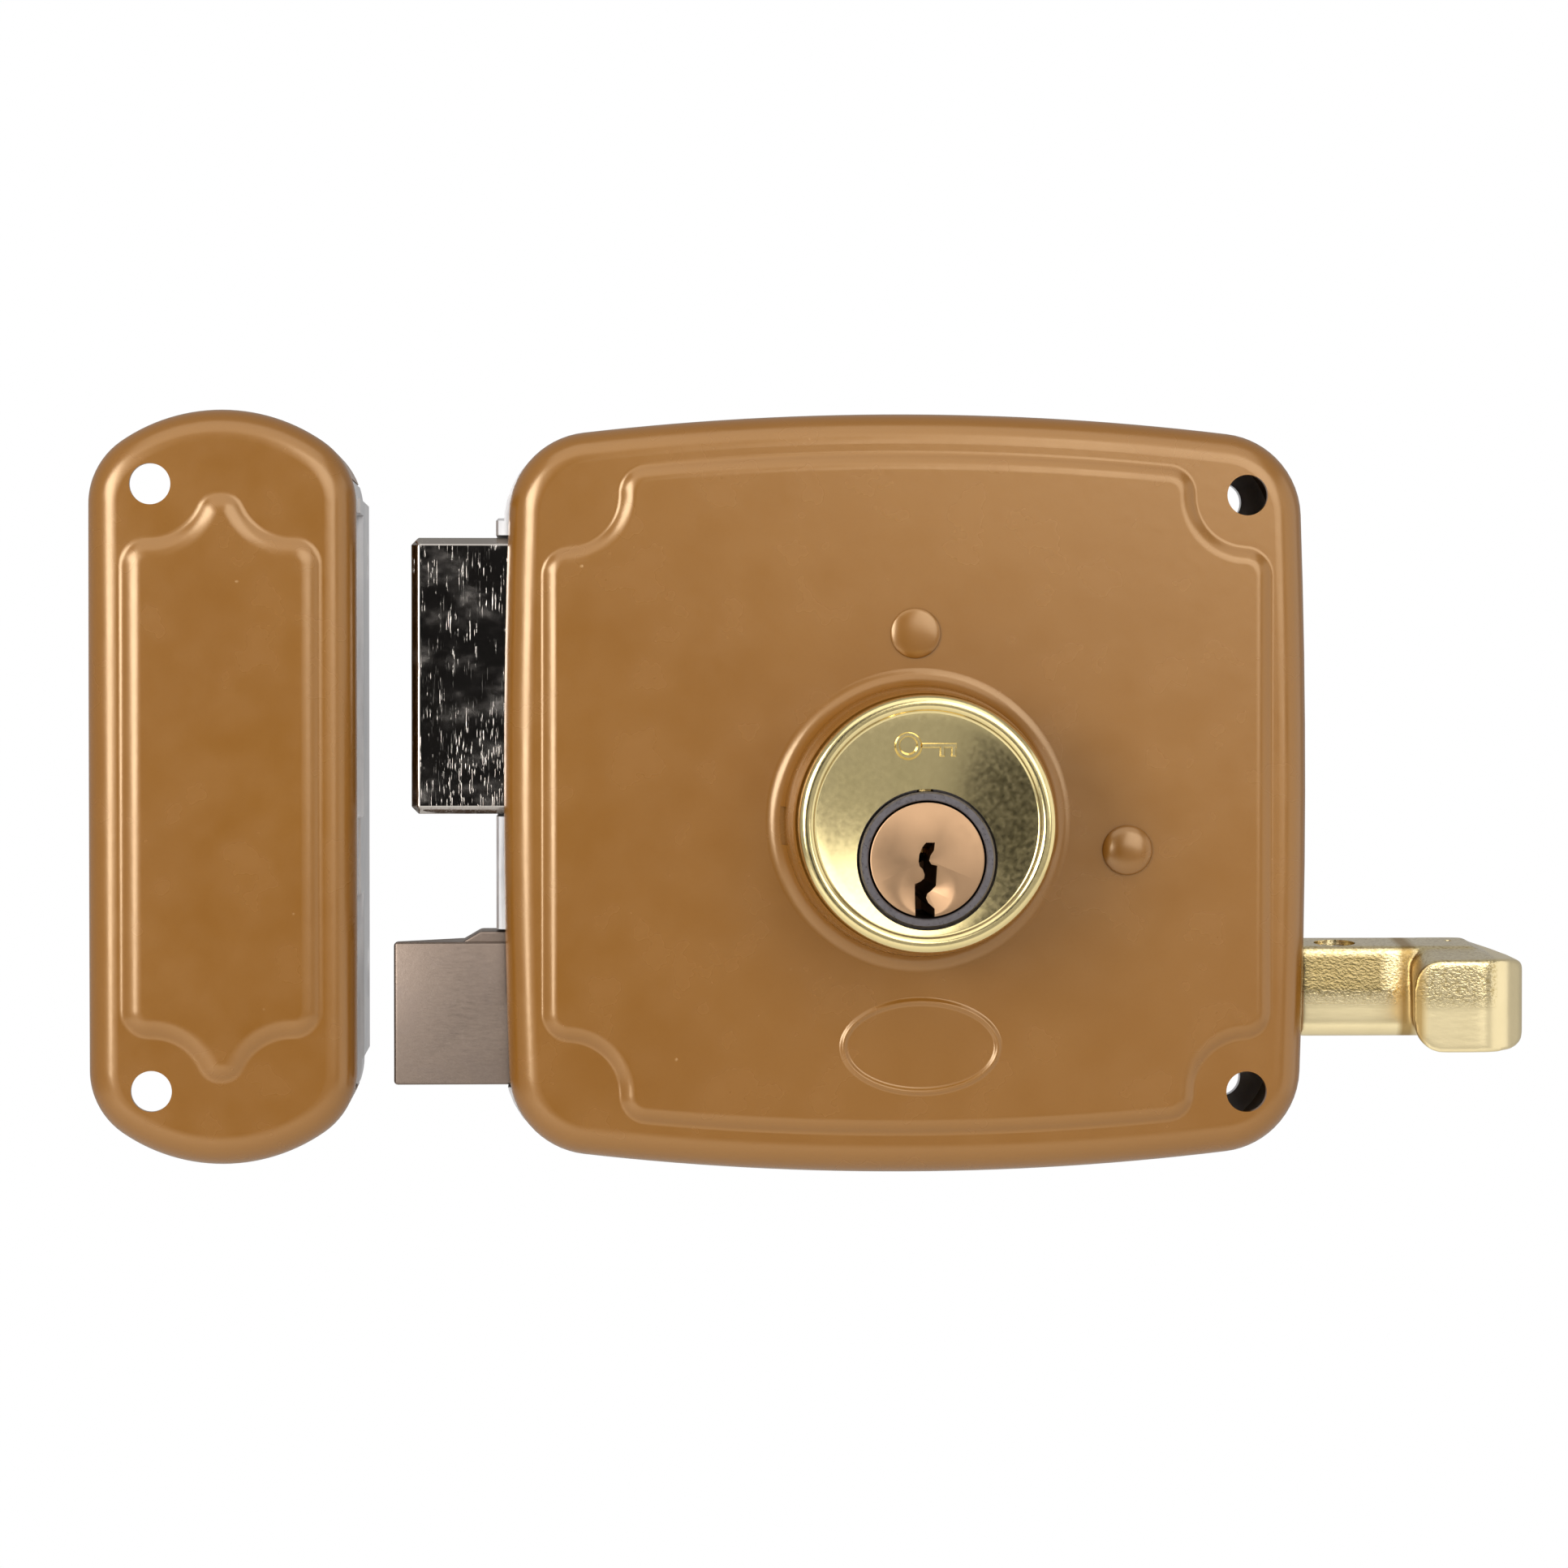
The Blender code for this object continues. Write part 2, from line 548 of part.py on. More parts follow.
def pin_y(k):
    return PIN_FIRST_Y + k * PIN_PITCH


def make_cylinder_body():
    body = rod("cylinder_body", BODY_RADIUS, *BODY_Y, (AXIS.x, 0, BOSS_Z), sides=40)
    nose = rod("cylinder_nose", NOSE_RADIUS, NOSE_FRONT_Y, BODY_Y[0] + THROUGH, AXIS, sides=40)
    join(body, nose)
    cut(body, rod("plug_bore", PLUG_BORE, NOSE_FRONT_Y - THROUGH, BODY_Y[1] + THROUGH, AXIS, sides=36))
    cut(body, box("cap_slot", (AXIS.x - 2.6 * MM, AXIS.x + 2.6 * MM),
                  (BODY_Y[0] - THROUGH, BODY_Y[1] + THROUGH), (CHAMBER_TOP, 12 * MM)))
    for k in range(len(KEY_PIN_LENGTHS)):
        chamber = rod(f"chamber_{k + 1}", PIN_HOLE, -2.5 * MM, 11 * MM, (AXIS.x, pin_y(k), 0), "Z", 12)
        cut(body, chamber)
    return body


def make_chamber_cap():
    return box("chamber_cap", (AXIS.x - 2.3 * MM, AXIS.x + 2.3 * MM), (BODY_Y[0] + GAP, BODY_Y[1] - GAP),
               (CHAMBER_TOP + GAP, CHAMBER_TOP + 1.2 * MM))


def make_plug():
    front, back = PLUG_Y
    groove = 5.3 * MM
    plug = turned("cylinder_plug", (
        (0, front + 0.8 * MM), (2.6 * MM, front), (PLUG_RADIUS - 0.3 * MM, front),
        (PLUG_RADIUS, front + 0.3 * MM),
        (PLUG_RADIUS, BODY_Y[1] + 0.15 * MM), (groove, BODY_Y[1] + 0.15 * MM),
        (groove, BODY_Y[1] + 0.9 * MM), (PLUG_RADIUS - 0.2 * MM, BODY_Y[1] + 0.9 * MM),
        (PLUG_RADIUS - 0.2 * MM, back), (0, back),
    ), AXIS, sides=36)
    blade = box("tail_blade", (AXIS.x - BLADE_HALF_W, AXIS.x + BLADE_HALF_W), (back - THROUGH, BLADE_BACK_Y),
                (AXIS.z - BLADE_HALF_T, AXIS.z + BLADE_HALF_T))
    join(plug, blade)
    keyway = prism_y("keyway", [(AXIS.x + x * MM, AXIS.z + z * MM) for x, z in KEYWAY],
                     front - THROUGH, BODY_Y[1] - 0.5 * MM)
    cut(plug, keyway)
    for k, length in enumerate(KEY_PIN_LENGTHS):
        top = AXIS.z + PLUG_RADIUS + THROUGH
        bottom = AXIS.z + PLUG_RADIUS - 0.2 * MM - length - GAP
        cut(plug, rod(f"pin_hole_{k + 1}", PIN_HOLE, bottom, top, (AXIS.x, pin_y(k), 0), "Z", 12))
    return plug


def make_pins():
    """The pin stacks with the key in: each key pin ends inside the plug, each driver outside it."""
    pieces = {"key": [], "driver": [], "spring": []}
    for k, length in enumerate(KEY_PIN_LENGTHS):
        at = (AXIS.x, pin_y(k), 0)
        key_top = AXIS.z + PLUG_RADIUS - 0.2 * MM
        driver_low = AXIS.z + PLUG_BORE + 0.2 * MM
        pieces["key"].append(turned(f"key_pin_{k + 1}", (
            (0, key_top), (PIN_RADIUS, key_top), (PIN_RADIUS, key_top - length + 0.8 * MM),
            (0.4 * MM, key_top - length), (0, key_top - length),
        ), at, "Z", 12))
        pieces["driver"].append(turned(f"driver_pin_{k + 1}", (
            (0, driver_low), (PIN_RADIUS - 0.15 * MM, driver_low), (PIN_RADIUS, driver_low + 0.3 * MM),
            (PIN_RADIUS, driver_low + DRIVER_LENGTH), (0, driver_low + DRIVER_LENGTH),
        ), at, "Z", 12))
        low = driver_low + DRIVER_LENGTH + 0.5 * MM
        pieces["spring"].append(coil(f"pin_spring_{k + 1}", (AXIS.x, pin_y(k), low),
                                     CHAMBER_TOP - GAP - low, 1.0 * MM, 0.18 * MM, 4, "Z", 6))
    return pieces


def make_plug_clip():
    y0 = BODY_Y[1] + 0.3 * MM
    y1 = BODY_Y[1] + 0.7 * MM
    clip = turned("plug_clip", ((5.6 * MM, y0), (7.6 * MM, y0), (7.6 * MM, y1), (5.6 * MM, y1)), AXIS,
                  sides=32, hollow=True)
    mouth = box("clip_mouth", (AXIS.x - 3 * MM, AXIS.x + 3 * MM), (y0 - THROUGH, y1 + THROUGH),
                (AXIS.z - 9 * MM, AXIS.z - 3 * MM))
    return cut(clip, mouth)


def make_cam():
    cam = rod("cam", CAM_HUB, CAM_Y[0], -0.4 * MM, AXIS, sides=32)
    tip_z = AXIS.z - CAM_REACH + FINGER_TIP
    tip = arc((AXIS.x, tip_z), FINGER_TIP, math.pi, 2 * math.pi, 8)
    finger = [(AXIS.x + 2.8 * MM, AXIS.z), (AXIS.x - 2.8 * MM, AXIS.z)] + tip
    join(cam, prism_y("cam_finger", finger, CAM_Y[0] + 0.05 * MM, CAM_Y[1]))
    slot = box("blade_slot", (AXIS.x - BLADE_HALF_W - GAP, AXIS.x + BLADE_HALF_W + GAP),
               (CAM_Y[0] - THROUGH, THROUGH), (AXIS.z - BLADE_HALF_T - GAP, AXIS.z + BLADE_HALF_T + GAP))
    return cut(cam, slot)


# ---------------------------------------------------------------- deadbolt

def make_deadbolt():
    head = bevel(box("deadbolt_head", DEADBOLT_X, BOLT_Y, DEADBOLT_Z), 0.7 * MM, 1)
    slot = box("tail_slot", (TAIL_X[0] - GAP, DEADBOLT_X[1] + THROUGH), (TAIL_Y[0] - GAP, TAIL_Y[1] + GAP),
               (DEADBOLT_Z[0] - THROUGH, DEADBOLT_Z[1] + THROUGH))
    cut(head, slot)
    tail = box("deadbolt_tail", TAIL_X, TAIL_Y, TAIL_Z)
    through_y = (TAIL_Y[0] - THROUGH, TAIL_Y[1] + THROUGH)
    for side in (1, -1):
        centre = (AXIS.x + side * THROW / 2, 0, AXIS.z)
        cut(tail, rod(f"tail_scallop_{side}", CAM_REACH + 2 * GAP, *through_y, centre, sides=40))
    pillar_x, pillar_z = PILLARS[0][1:3]
    reach = THROW + PILLAR_RADIUS + 2 * GAP
    cut(tail, box("pillar_slot", (pillar_x - reach, pillar_x + reach), through_y,
                  (pillar_z - PILLAR_RADIUS - GAP, pillar_z + PILLAR_RADIUS + GAP)))
    for step in (-1, 0, 1):
        x = DETENT_X + step * THROW
        notch = [(x - 1.6 * MM, TAIL_Z[1] + THROUGH), (x, TAIL_Z[1] - DETENT_DEPTH),
                 (x + 1.6 * MM, TAIL_Z[1] + THROUGH)]
        cut(tail, prism_y(f"detent_notch_{step}", notch, *through_y))
    rivets = []
    for k, (x, z) in enumerate(TAIL_RIVETS):
        hole = rod(f"rivet_hole_{k + 1}", RIVET + GAP, BOLT_Y[0] - THROUGH, BOLT_Y[1] + THROUGH,
                   (x, 0, z), sides=16)
        cut(head, hole)
        cut(tail, hole)
        rivets.append(rod(f"deadbolt_rivet_{k + 1}", RIVET, BOLT_Y[0] + 0.1 * MM, BOLT_Y[1] - 0.1 * MM,
                          (x, 0, z), sides=16))
    return [head, tail, *rivets]


def make_detent():
    post = rod("detent_post", DETENT_POST_RADIUS, -18.0 * MM, COVER_BACK_Y,
               (DETENT_POST.x, 0, DETENT_POST.z), sides=16)
    hook = arc((DETENT_POST.x, DETENT_POST.z), DETENT_POST_RADIUS + GAP + LEAF / 2,
               math.radians(60), math.radians(-95), 8)
    nose_z = TAIL_Z[1] + 1.5 * LEAF + GAP  # lifted clear of the notches, as it is while the bolt moves
    bend_z = nose_z + 1.6 * MM
    leaf = hook + [(12 * MM, bend_z + 1.5 * MM), (DETENT_X + DETENT_BEND, bend_z), (DETENT_X, nose_z),
                   (DETENT_X - DETENT_BEND, bend_z)]
    spring = prism_y("detent_spring", ribbon(leaf, LEAF), TAIL_Y[0] + 0.1 * MM, TAIL_Y[1] - 0.1 * MM)
    return [post, spring]


# ---------------------------------------------------------------- latch bolt

def make_latch():
    front, back = BOLT_Y
    wedge = ((LATCH_X[0], front), (LATCH_X[1], front), (LATCH_X[1], back), (LATCH_BEVEL_X, back),
             (LATCH_X[0], LATCH_TIP_Y))
    bolt = bevel(prism_z("latch_bolt", wedge, *LATCH_Z), 0.4 * MM, 1)
    low = LATCH_Z[1] - 2.0 * MM
    shoulder = prism_y("latch_shoulder", (
        (-52.7 * MM, low), (LATCH_X[1] - 0.3 * MM, low), (LATCH_X[1] - 0.3 * MM, LATCH_SHOULDER_Z),
        (-50.3 * MM, LATCH_SHOULDER_Z), (-52.7 * MM, LATCH_Z[1] - 0.3 * MM),
    ), front + 0.5 * MM, -10.6 * MM)
    join(bolt, shoulder)
    pocket = box("latch_pocket", (BAR_X[0] - GAP, LATCH_X[1] + THROUGH), (BAR_Y[0] - GAP, BAR_Y[1] + GAP),
                 (BAR_Z[0] - GAP, BAR_Z[1] + GAP))
    rod_hole = rod("rod_hole", ROD_RADIUS + GAP, ROD_X[0] - GAP, LATCH_X[1] + THROUGH,
                   (0, ROD_Y, ROD_Z), "X", 16)
    cut(bolt, pocket, rod_hole)
    bar = box("latch_draw_bar", BAR_X, BAR_Y, BAR_Z)
    pin_at = (LATCH_PIN_X, 0, (BAR_Z[0] + BAR_Z[1]) / 2)
    pin_hole = rod("latch_pin_hole", LATCH_PIN + GAP, front - THROUGH, back + THROUGH, pin_at, sides=16)
    cut(bolt, pin_hole)
    cut(bar, pin_hole, rod("bar_screw_hole", 1.2 * MM, BAR_Z[0] - THROUGH, BAR_Z[1] + THROUGH,
                           (HANDLE_SCREW_X, HANDLE_SCREW_Y, 0), "Z", 16))
    pin = rod("latch_pin", LATCH_PIN, front + 0.1 * MM, back - 0.1 * MM, pin_at, sides=16)
    guide = rod("latch_guide_rod", ROD_RADIUS, *ROD_X, (0, ROD_Y, ROD_Z), "X", 16)
    start = LATCH_X[1] + SPRING_WIRE + GAP
    end = BRACKET_X[0] - SPRING_WIRE - GAP
    spring = coil("latch_spring", (start, ROD_Y, ROD_Z), end - start, SPRING_RADIUS, SPRING_WIRE,
                  SPRING_TURNS, "X", 8)
    return [bolt, bar, pin, guide, spring]


def make_spring_bracket():
    x0, x1 = BRACKET_X
    foot = ((x0, -17 * MM), (x1, -17 * MM), (x1, -3 * MM), (2 * MM, -3 * MM), (2 * MM, COVER_BACK_Y),
            (x0, COVER_BACK_Y))
    bracket = prism_z("spring_bracket", foot, -34.5 * MM, -27.3 * MM)
    return cut(bracket, rod("bracket_hole", ROD_RADIUS + 0.4 * MM, x0 - THROUGH, x1 + THROUGH,
                            (0, ROD_Y, ROD_Z), "X", 16))


HANDLE_STATIONS = (
    # x, front y, back y, top z at the front, top z at the back, bottom z, corner radius
    (47.8, -15.0, -6.5, -18.7, -17.8, -29.4, 1.2),
    (56.2, -15.0, -6.5, -18.7, -17.8, -29.4, 1.2),
    (58.6, -15.6, -6.5, -18.8, -17.8, -29.5, 1.4),
    (59.8, -17.2, -6.5, -19.1, -17.8, -29.9, 1.8),
    (60.6, -19.6, -6.5, -19.5, -17.8, -30.4, 2.4),
    (61.3, -21.2, -6.5, -19.7, -17.8, -30.7, 2.8),
    (62.6, -22.0, -6.5, -19.9, -17.9, -30.9, 3.0),
    (66.0, -22.0, -6.5, -19.9, -18.1, -30.9, 3.0),
    (70.2, -22.0, -6.9, -19.9, -18.9, -30.9, 3.0),
    (72.4, -20.6, -7.6, -20.1, -19.6, -30.7, 3.0),
    (74.1, -17.4, -8.6, -20.8, -20.6, -30.2, 3.0),
    (74.9, -14.0, -9.8, -22.6, -22.4, -28.8, 2.0),
)


def handle_section(x, front, back, top, back_top, bottom, corner):
    """A rounded section across the handle, whose top face rises a little towards the back."""
    rise = {(front, top): 0.0, (back, top): back_top - top, (back, bottom): 0.0, (front, bottom): 0.0}
    signs = {(front, top): (1, -1), (back, top): (-1, -1), (back, bottom): (-1, 1), (front, bottom): (1, 1)}
    points = []
    for k, corner_at in enumerate(rise):
        y, z = corner_at
        sy, sz = signs[corner_at]
        centre = (y + sy * corner, z + rise[corner_at] + sz * corner)
        for a in arc(centre, corner, math.pi - k * math.pi / 2, math.pi / 2 - k * math.pi / 2, 3):
            points.append((x, *a))
    return points


def make_handle():
    stations = [[value * MM for value in station] for station in HANDLE_STATIONS]
    handle = loft("pull_handle", [handle_section(*station) for station in stations])
    pocket = box("handle_pocket", (45 * MM, BAR_X[1] + GAP), (BAR_Y[0] - GAP, BAR_Y[1] + GAP),
                 (BAR_Z[0] - GAP, BAR_Z[1] + GAP))
    screw_at = (HANDLE_SCREW_X, HANDLE_SCREW_Y, 0)
    head_hole = rod("handle_head_hole", 2.5 * MM, -19.7 * MM, -16 * MM, screw_at, "Z", HOLE_SIDES)
    shank_hole = rod("handle_shank_hole", 1.3 * MM, -27.9 * MM, -18 * MM, screw_at, "Z", 16)
    cut(handle, pocket, head_hole, shank_hole)
    screw = turned("handle_screw", (
        (0, -27.4 * MM), (0.9 * MM, -27.4 * MM), (0.9 * MM, -19.4 * MM), (2.2 * MM, -19.4 * MM),
        (2.2 * MM, -19.0 * MM), (1.6 * MM, -18.7 * MM), (0, -18.6 * MM),
    ), screw_at, "Z", 16)
    return [handle, screw]


# ---------------------------------------------------------------- box strike

def make_strike_cover():
    cover = pressed_cover("strike_cover", STRIKE, strike_panel, STRIKE_PANEL_SLOPE, STRIKE_X)
    for side in (1, -1):
        hole_at = (STRIKE_X - STRIKE_HOLE.x, 0, side * STRIKE_HOLE.z)
        rivet_at = (STRIKE_X, STRIKE_RIVET_Y, 0)
        wall = sorted((side * (STRIKE_HALF_H - SHEET - THROUGH), side * (STRIKE_HALF_H + THROUGH)))
        cut(cover, rod(f"strike_screw_hole_{side}", SCREW_HOLE, FACE_Y - THROUGH, FACE_Y + SHEET + THROUGH,
                       hole_at, sides=20),
            rod(f"strike_rivet_hole_{side}", RIVET + GAP, *wall, rivet_at, "Z", 16))
    gap = STRIKE.side_strip(THROUGH, SHEET + GAP, STRIKE_WRAP + 0.035, 1)
    return cut(cover, prism_y("strike_gap", gap, FLANGE_FRONT_Y - GAP, COVER_BACK_Y + THROUGH, STRIKE_X))


def make_strike_plate():
    plate = box("strike_plate", STRIKE_LEG_X, (-PLATE, 0.0), (-STRIKE_LEG_HALF_H, STRIKE_LEG_HALF_H))
    wall = prism_y("strike_wall", STRIKE.side_strip(0.0, STRIKE_WALL, STRIKE_WRAP, 1),
                   FLANGE_FRONT_Y, -0.2 * MM, STRIKE_X)
    lip = box("frame_lip", STRIKE_LIP_X, (-17.0 * MM, LIP_DEPTH), STRIKE_LIP_Z)
    join(plate, wall, bevel(lip, 0.3 * MM, 1))
    for side in (1, -1):
        arm = box(f"strike_arm_{side}", (STRIKE_X - TAB_HALF_W, STRIKE_X + TAB_HALF_W),
                  (-PLATE + 0.1 * MM, -0.1 * MM),
                  sorted((side * (STRIKE_LEG_HALF_H - 2 * MM), side * TAB_Z[1])))
        tab = box(f"strike_tab_{side}", (STRIKE_X - TAB_HALF_W + 0.1 * MM, STRIKE_X + TAB_HALF_W - 0.1 * MM),
                  (TAB_FRONT_Y, -0.2 * MM), sorted((side * TAB_Z[0], side * (TAB_Z[1] - 0.1 * MM))))
        join(plate, arm, tab)
    notch_x = (STRIKE_LIP_X[0] - 2 * THROUGH, STRIKE_LIP_X[1] + THROUGH)
    for k, notch_z in enumerate(STRIKE_NOTCHES):
        cut(plate, box(f"strike_notch_{k + 1}", notch_x, (FLANGE_FRONT_Y - THROUGH, NOTCH_BACK_Y), notch_z))
    for k, z in enumerate(STRIKE_LIP_SCREWS):
        cut(plate, turned(f"strike_lip_screw_{k + 1}", (
            (0, STRIKE_LIP_X[0] - THROUGH), (STRIKE_LIP_HOLE, STRIKE_LIP_X[0] - THROUGH),
            (STRIKE_LIP_HOLE, STRIKE_LIP_X[0] + 0.4 * MM), (3.35 * MM, STRIKE_LIP_X[1] + 0.05 * MM),
            (3.35 * MM, STRIKE_LIP_X[1] + THROUGH), (0, STRIKE_LIP_X[1] + THROUGH),
        ), (0, LIP_DEPTH / 2, z), "X", HOLE_SIDES))
    for side in (1, -1):
        through = sorted((side * (TAB_Z[0] - THROUGH), side * (TAB_Z[1] + THROUGH)))
        cut(plate, rod(f"tab_hole_{side}", RIVET + GAP, *through, (STRIKE_X, STRIKE_RIVET_Y, 0), "Z", 16))
    return plate


def make_strike_rivet(k, side):
    head = (TAB_Z[0] - 1.1 * MM, TAB_Z[0] - GAP)
    profile = ((0, head[0]), (2.0 * MM, head[0]), (2.4 * MM, head[1]), (RIVET, head[1]),
               (RIVET, STRIKE_HALF_H - 0.1 * MM), (0, STRIKE_HALF_H - 0.1 * MM))
    return turned(f"strike_rivet_{k}", [(r, side * z) for r, z in profile],
                  (STRIKE_X, STRIKE_RIVET_Y, 0), "Z", 16)


# ---------------------------------------------------------------- assembly

def empty(name, at):
    obj = bpy.data.objects.new(name, None)
    obj.location = at
    bpy.context.scene.collection.objects.link(obj)
    return obj


def raised(piece, height):
    """Moves a piece up, together with the shapes that its Booleans join and cut."""
    for obj in (piece, *(modifier.object for modifier in piece.modifiers if modifier.type == "BOOLEAN")):
        obj.location.z += height
    return piece


def attach(pieces, parent, finish):
    """Parents pieces to the empty on their joint's axis, where they are, and gives them a material."""
    for piece in pieces:
        piece.parent = parent
        piece.matrix_parent_inverse = Matrix.Translation(-parent.location)
        piece.data.materials.append(finish)


def main():
    for obj in list(bpy.data.objects):
        bpy.data.objects.remove(obj, do_unlink=True)

    paint = material("ochre_paint", (0.37, 0.19, 0.05), 0.2, 0.35)
    zinc = material("zinc_steel", (0.42, 0.41, 0.40), 0.9, 0.4)
    nickel = material("nickel", (0.35, 0.32, 0.29), 1.0, 0.3)
    brass = material("brass", (0.72, 0.58, 0.28), 1.0, 0.28)
    bronze = material("bronze", (0.62, 0.38, 0.24), 1.0, 0.3)
    spring_steel = material("spring_steel", (0.30, 0.30, 0.31), 1.0, 0.35)

    case = empty("case_frame", (0, 0, 0))
    plug_turn = empty("plug_axis", AXIS)
    bolt_y = (BOLT_Y[0] + BOLT_Y[1]) / 2
    deadbolt_slide = empty("deadbolt_slide", (0, bolt_y, (DEADBOLT_Z[0] + DEADBOLT_Z[1]) / 2))
    latch_slide = empty("latch_slide", (0, bolt_y, (LATCH_Z[0] + LATCH_Z[1]) / 2))
    strike_slide = empty("strike_slide", (STRIKE_X, 0, STRIKE_RAISE))

    pins = make_pins()
    pillars = [make_pillar(*pillar) for pillar in PILLARS]
    pillar_screws = [make_pillar_screw(f"pillar_screw_{k}", x, z)
                     for k, (_, x, z, _) in enumerate(PILLARS, 1)]
    post, leaf = make_detent()
    head, tail, *rivets = make_deadbolt()
    bolt, bar, latch_pin, guide, latch_spring = make_latch()
    handle, handle_screw = make_handle()

    attach([make_case_cover(), *pillars], case, paint)
    attach([make_base_plate(), *pillar_screws, make_chamber_cap(), post, make_spring_bracket()], case, zinc)
    attach([make_cylinder_body()], case, nickel)
    attach([make_rose(), *pins["driver"]], case, brass)
    attach([*pins["spring"], leaf], case, spring_steel)
    attach([make_plug()], plug_turn, bronze)
    attach(pins["key"], plug_turn, brass)
    attach([make_plug_clip()], plug_turn, spring_steel)
    attach([make_cam()], plug_turn, zinc)
    attach([head], deadbolt_slide, nickel)
    attach([tail, *rivets], deadbolt_slide, zinc)
    attach([bolt], latch_slide, nickel)
    attach([bar, latch_pin, guide, handle_screw], latch_slide, zinc)
    attach([latch_spring], latch_slide, spring_steel)
    attach([handle], latch_slide, brass)
    attach([raised(make_strike_cover(), STRIKE_RAISE)], strike_slide, paint)
    strike_steel = [make_strike_plate(), make_strike_rivet(1, 1), make_strike_rivet(2, -1)]
    attach([raised(piece, STRIKE_RAISE) for piece in strike_steel], strike_slide, zinc)


main()
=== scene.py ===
"""Looks of the rim night latch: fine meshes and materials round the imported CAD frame.

The frame's coordinates hold here too: metres, +Z up, the lock's front faces -Y, and the origin is
the middle of the base plate's back face. Sizes come from the frame's boxes where they can.
"""

import json
import math

import bmesh
import bpy
from mathutils import Matrix, Vector


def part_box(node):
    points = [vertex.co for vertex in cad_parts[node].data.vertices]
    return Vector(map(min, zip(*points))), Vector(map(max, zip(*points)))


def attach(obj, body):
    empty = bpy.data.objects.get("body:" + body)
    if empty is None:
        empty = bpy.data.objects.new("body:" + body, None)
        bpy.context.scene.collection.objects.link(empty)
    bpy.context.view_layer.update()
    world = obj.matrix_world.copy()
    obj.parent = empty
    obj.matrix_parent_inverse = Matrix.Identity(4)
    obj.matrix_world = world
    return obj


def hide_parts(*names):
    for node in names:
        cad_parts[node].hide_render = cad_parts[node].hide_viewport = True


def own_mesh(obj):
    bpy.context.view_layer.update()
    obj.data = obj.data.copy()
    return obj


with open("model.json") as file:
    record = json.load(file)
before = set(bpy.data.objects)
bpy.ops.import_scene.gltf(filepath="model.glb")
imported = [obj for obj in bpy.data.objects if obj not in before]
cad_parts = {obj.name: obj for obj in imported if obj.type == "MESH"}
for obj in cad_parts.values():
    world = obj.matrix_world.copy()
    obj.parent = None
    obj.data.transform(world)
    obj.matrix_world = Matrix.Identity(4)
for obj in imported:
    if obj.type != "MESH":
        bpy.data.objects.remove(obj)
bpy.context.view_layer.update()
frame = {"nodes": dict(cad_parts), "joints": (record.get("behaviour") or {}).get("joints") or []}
nodes = frame["nodes"]
joints = {joint["name"]: joint for joint in frame["joints"]}

MM = 0.001
GAP = 0.3 * MM  # clearance round a piece that stands in another
SHEET = 1.0 * MM  # thickness of the pressed covers
THROUGH = 1.0 * MM  # how far a cutter runs past what it cuts
FINE, ROUND, COARSE = 128, 96, 32  # sides of the turned pieces, by their size in the picture
TURN = 2 * math.pi
SAME_POINT = 1e-7
SAME_HEIGHT = 1e-6


# ---------------------------------------------------------------- mesh helpers

def add_piece(name, bm, angle=30):
    """Links a mesh to the scene, smooth but for edges sharper than the angle in degrees."""
    mesh = bpy.data.meshes.new(name)
    bm.to_mesh(mesh)
    bm.free()
    mesh.shade_smooth()
    mesh.set_sharp_from_angle(angle=math.radians(angle))
    obj = bpy.data.objects.new(name, mesh)
    bpy.context.scene.collection.objects.link(obj)
    return obj


def quads(bm, low, high, keep=None):
    """Quads between two rings of vertices; keep(k) may leave out the one after vertex k."""
    for k in range(len(low)):
        n = (k + 1) % len(low)
        if keep is None or keep(k):
            bm.faces.new((low[k], low[n], high[n], high[k]))


def bridge(bm, loops):
    """Quads from each ring of vertices to the next."""
    for low, high in zip(loops, loops[1:]):
        quads(bm, low, high)


def loft(name, rings):
    """A closed solid through rings of equally many points."""
    bm = bmesh.new()
    loops = [[bm.verts.new(point) for point in ring] for ring in rings]
    bridge(bm, loops)
    bm.faces.new(loops[0])
    bm.faces.new(loops[-1])
    bmesh.ops.recalc_face_normals(bm, faces=bm.faces[:])
    return add_piece(name, bm)


def prism_x(name, outline, x):
    return loft(name, [[(at, y, z) for y, z in outline] for at in x])


def prism_y(name, outline, y):
    return loft(name, [[(x, at, z) for x, z in outline] for at in y])


def prism_z(name, outline, z):
    return loft(name, [[(x, y, at) for x, y in outline] for at in z])


def rectangle(x, z):
    return (x[0], z[0]), (x[1], z[0]), (x[1], z[1]), (x[0], z[1])


def box(name, x, y, z):
    return prism_y(name, rectangle(x, z), y)


def turned(name, profile, at, axis="Y", sides=ROUND, hollow=False, angle=30):
    """A profile of (radius, distance along the axis) turned about an axis through the point at."""
    turn = {"X": Matrix.Rotation(math.pi / 2, 4, "Y"), "Y": Matrix.Rotation(-math.pi / 2, 4, "X"),
            "Z": Matrix.Identity(4)}[axis]
    bm = bmesh.new()
    loops = []
    for radius, along in profile:
        angles = [TURN * k / sides for k in range(sides)] if radius > 0 else [0.0]
        loops.append([bm.verts.new((radius * math.cos(a), radius * math.sin(a), along)) for a in angles])
    pairs = list(zip(loops, loops[1:]))
    if hollow:
        pairs.append((loops[-1], loops[0]))
    for low, high in pairs:
        for k in range(sides):
            n = (k + 1) % sides
            corners = [low[k % len(low)], low[n % len(low)], high[n % len(high)], high[k % len(high)]]
            bm.faces.new(list(dict.fromkeys(corners)))  # a triangle where a loop is one point
    bmesh.ops.transform(bm, matrix=Matrix.Translation(at) @ turn, verts=bm.verts[:])
    bmesh.ops.recalc_face_normals(bm, faces=bm.faces[:])
    return add_piece(name, bm, angle)


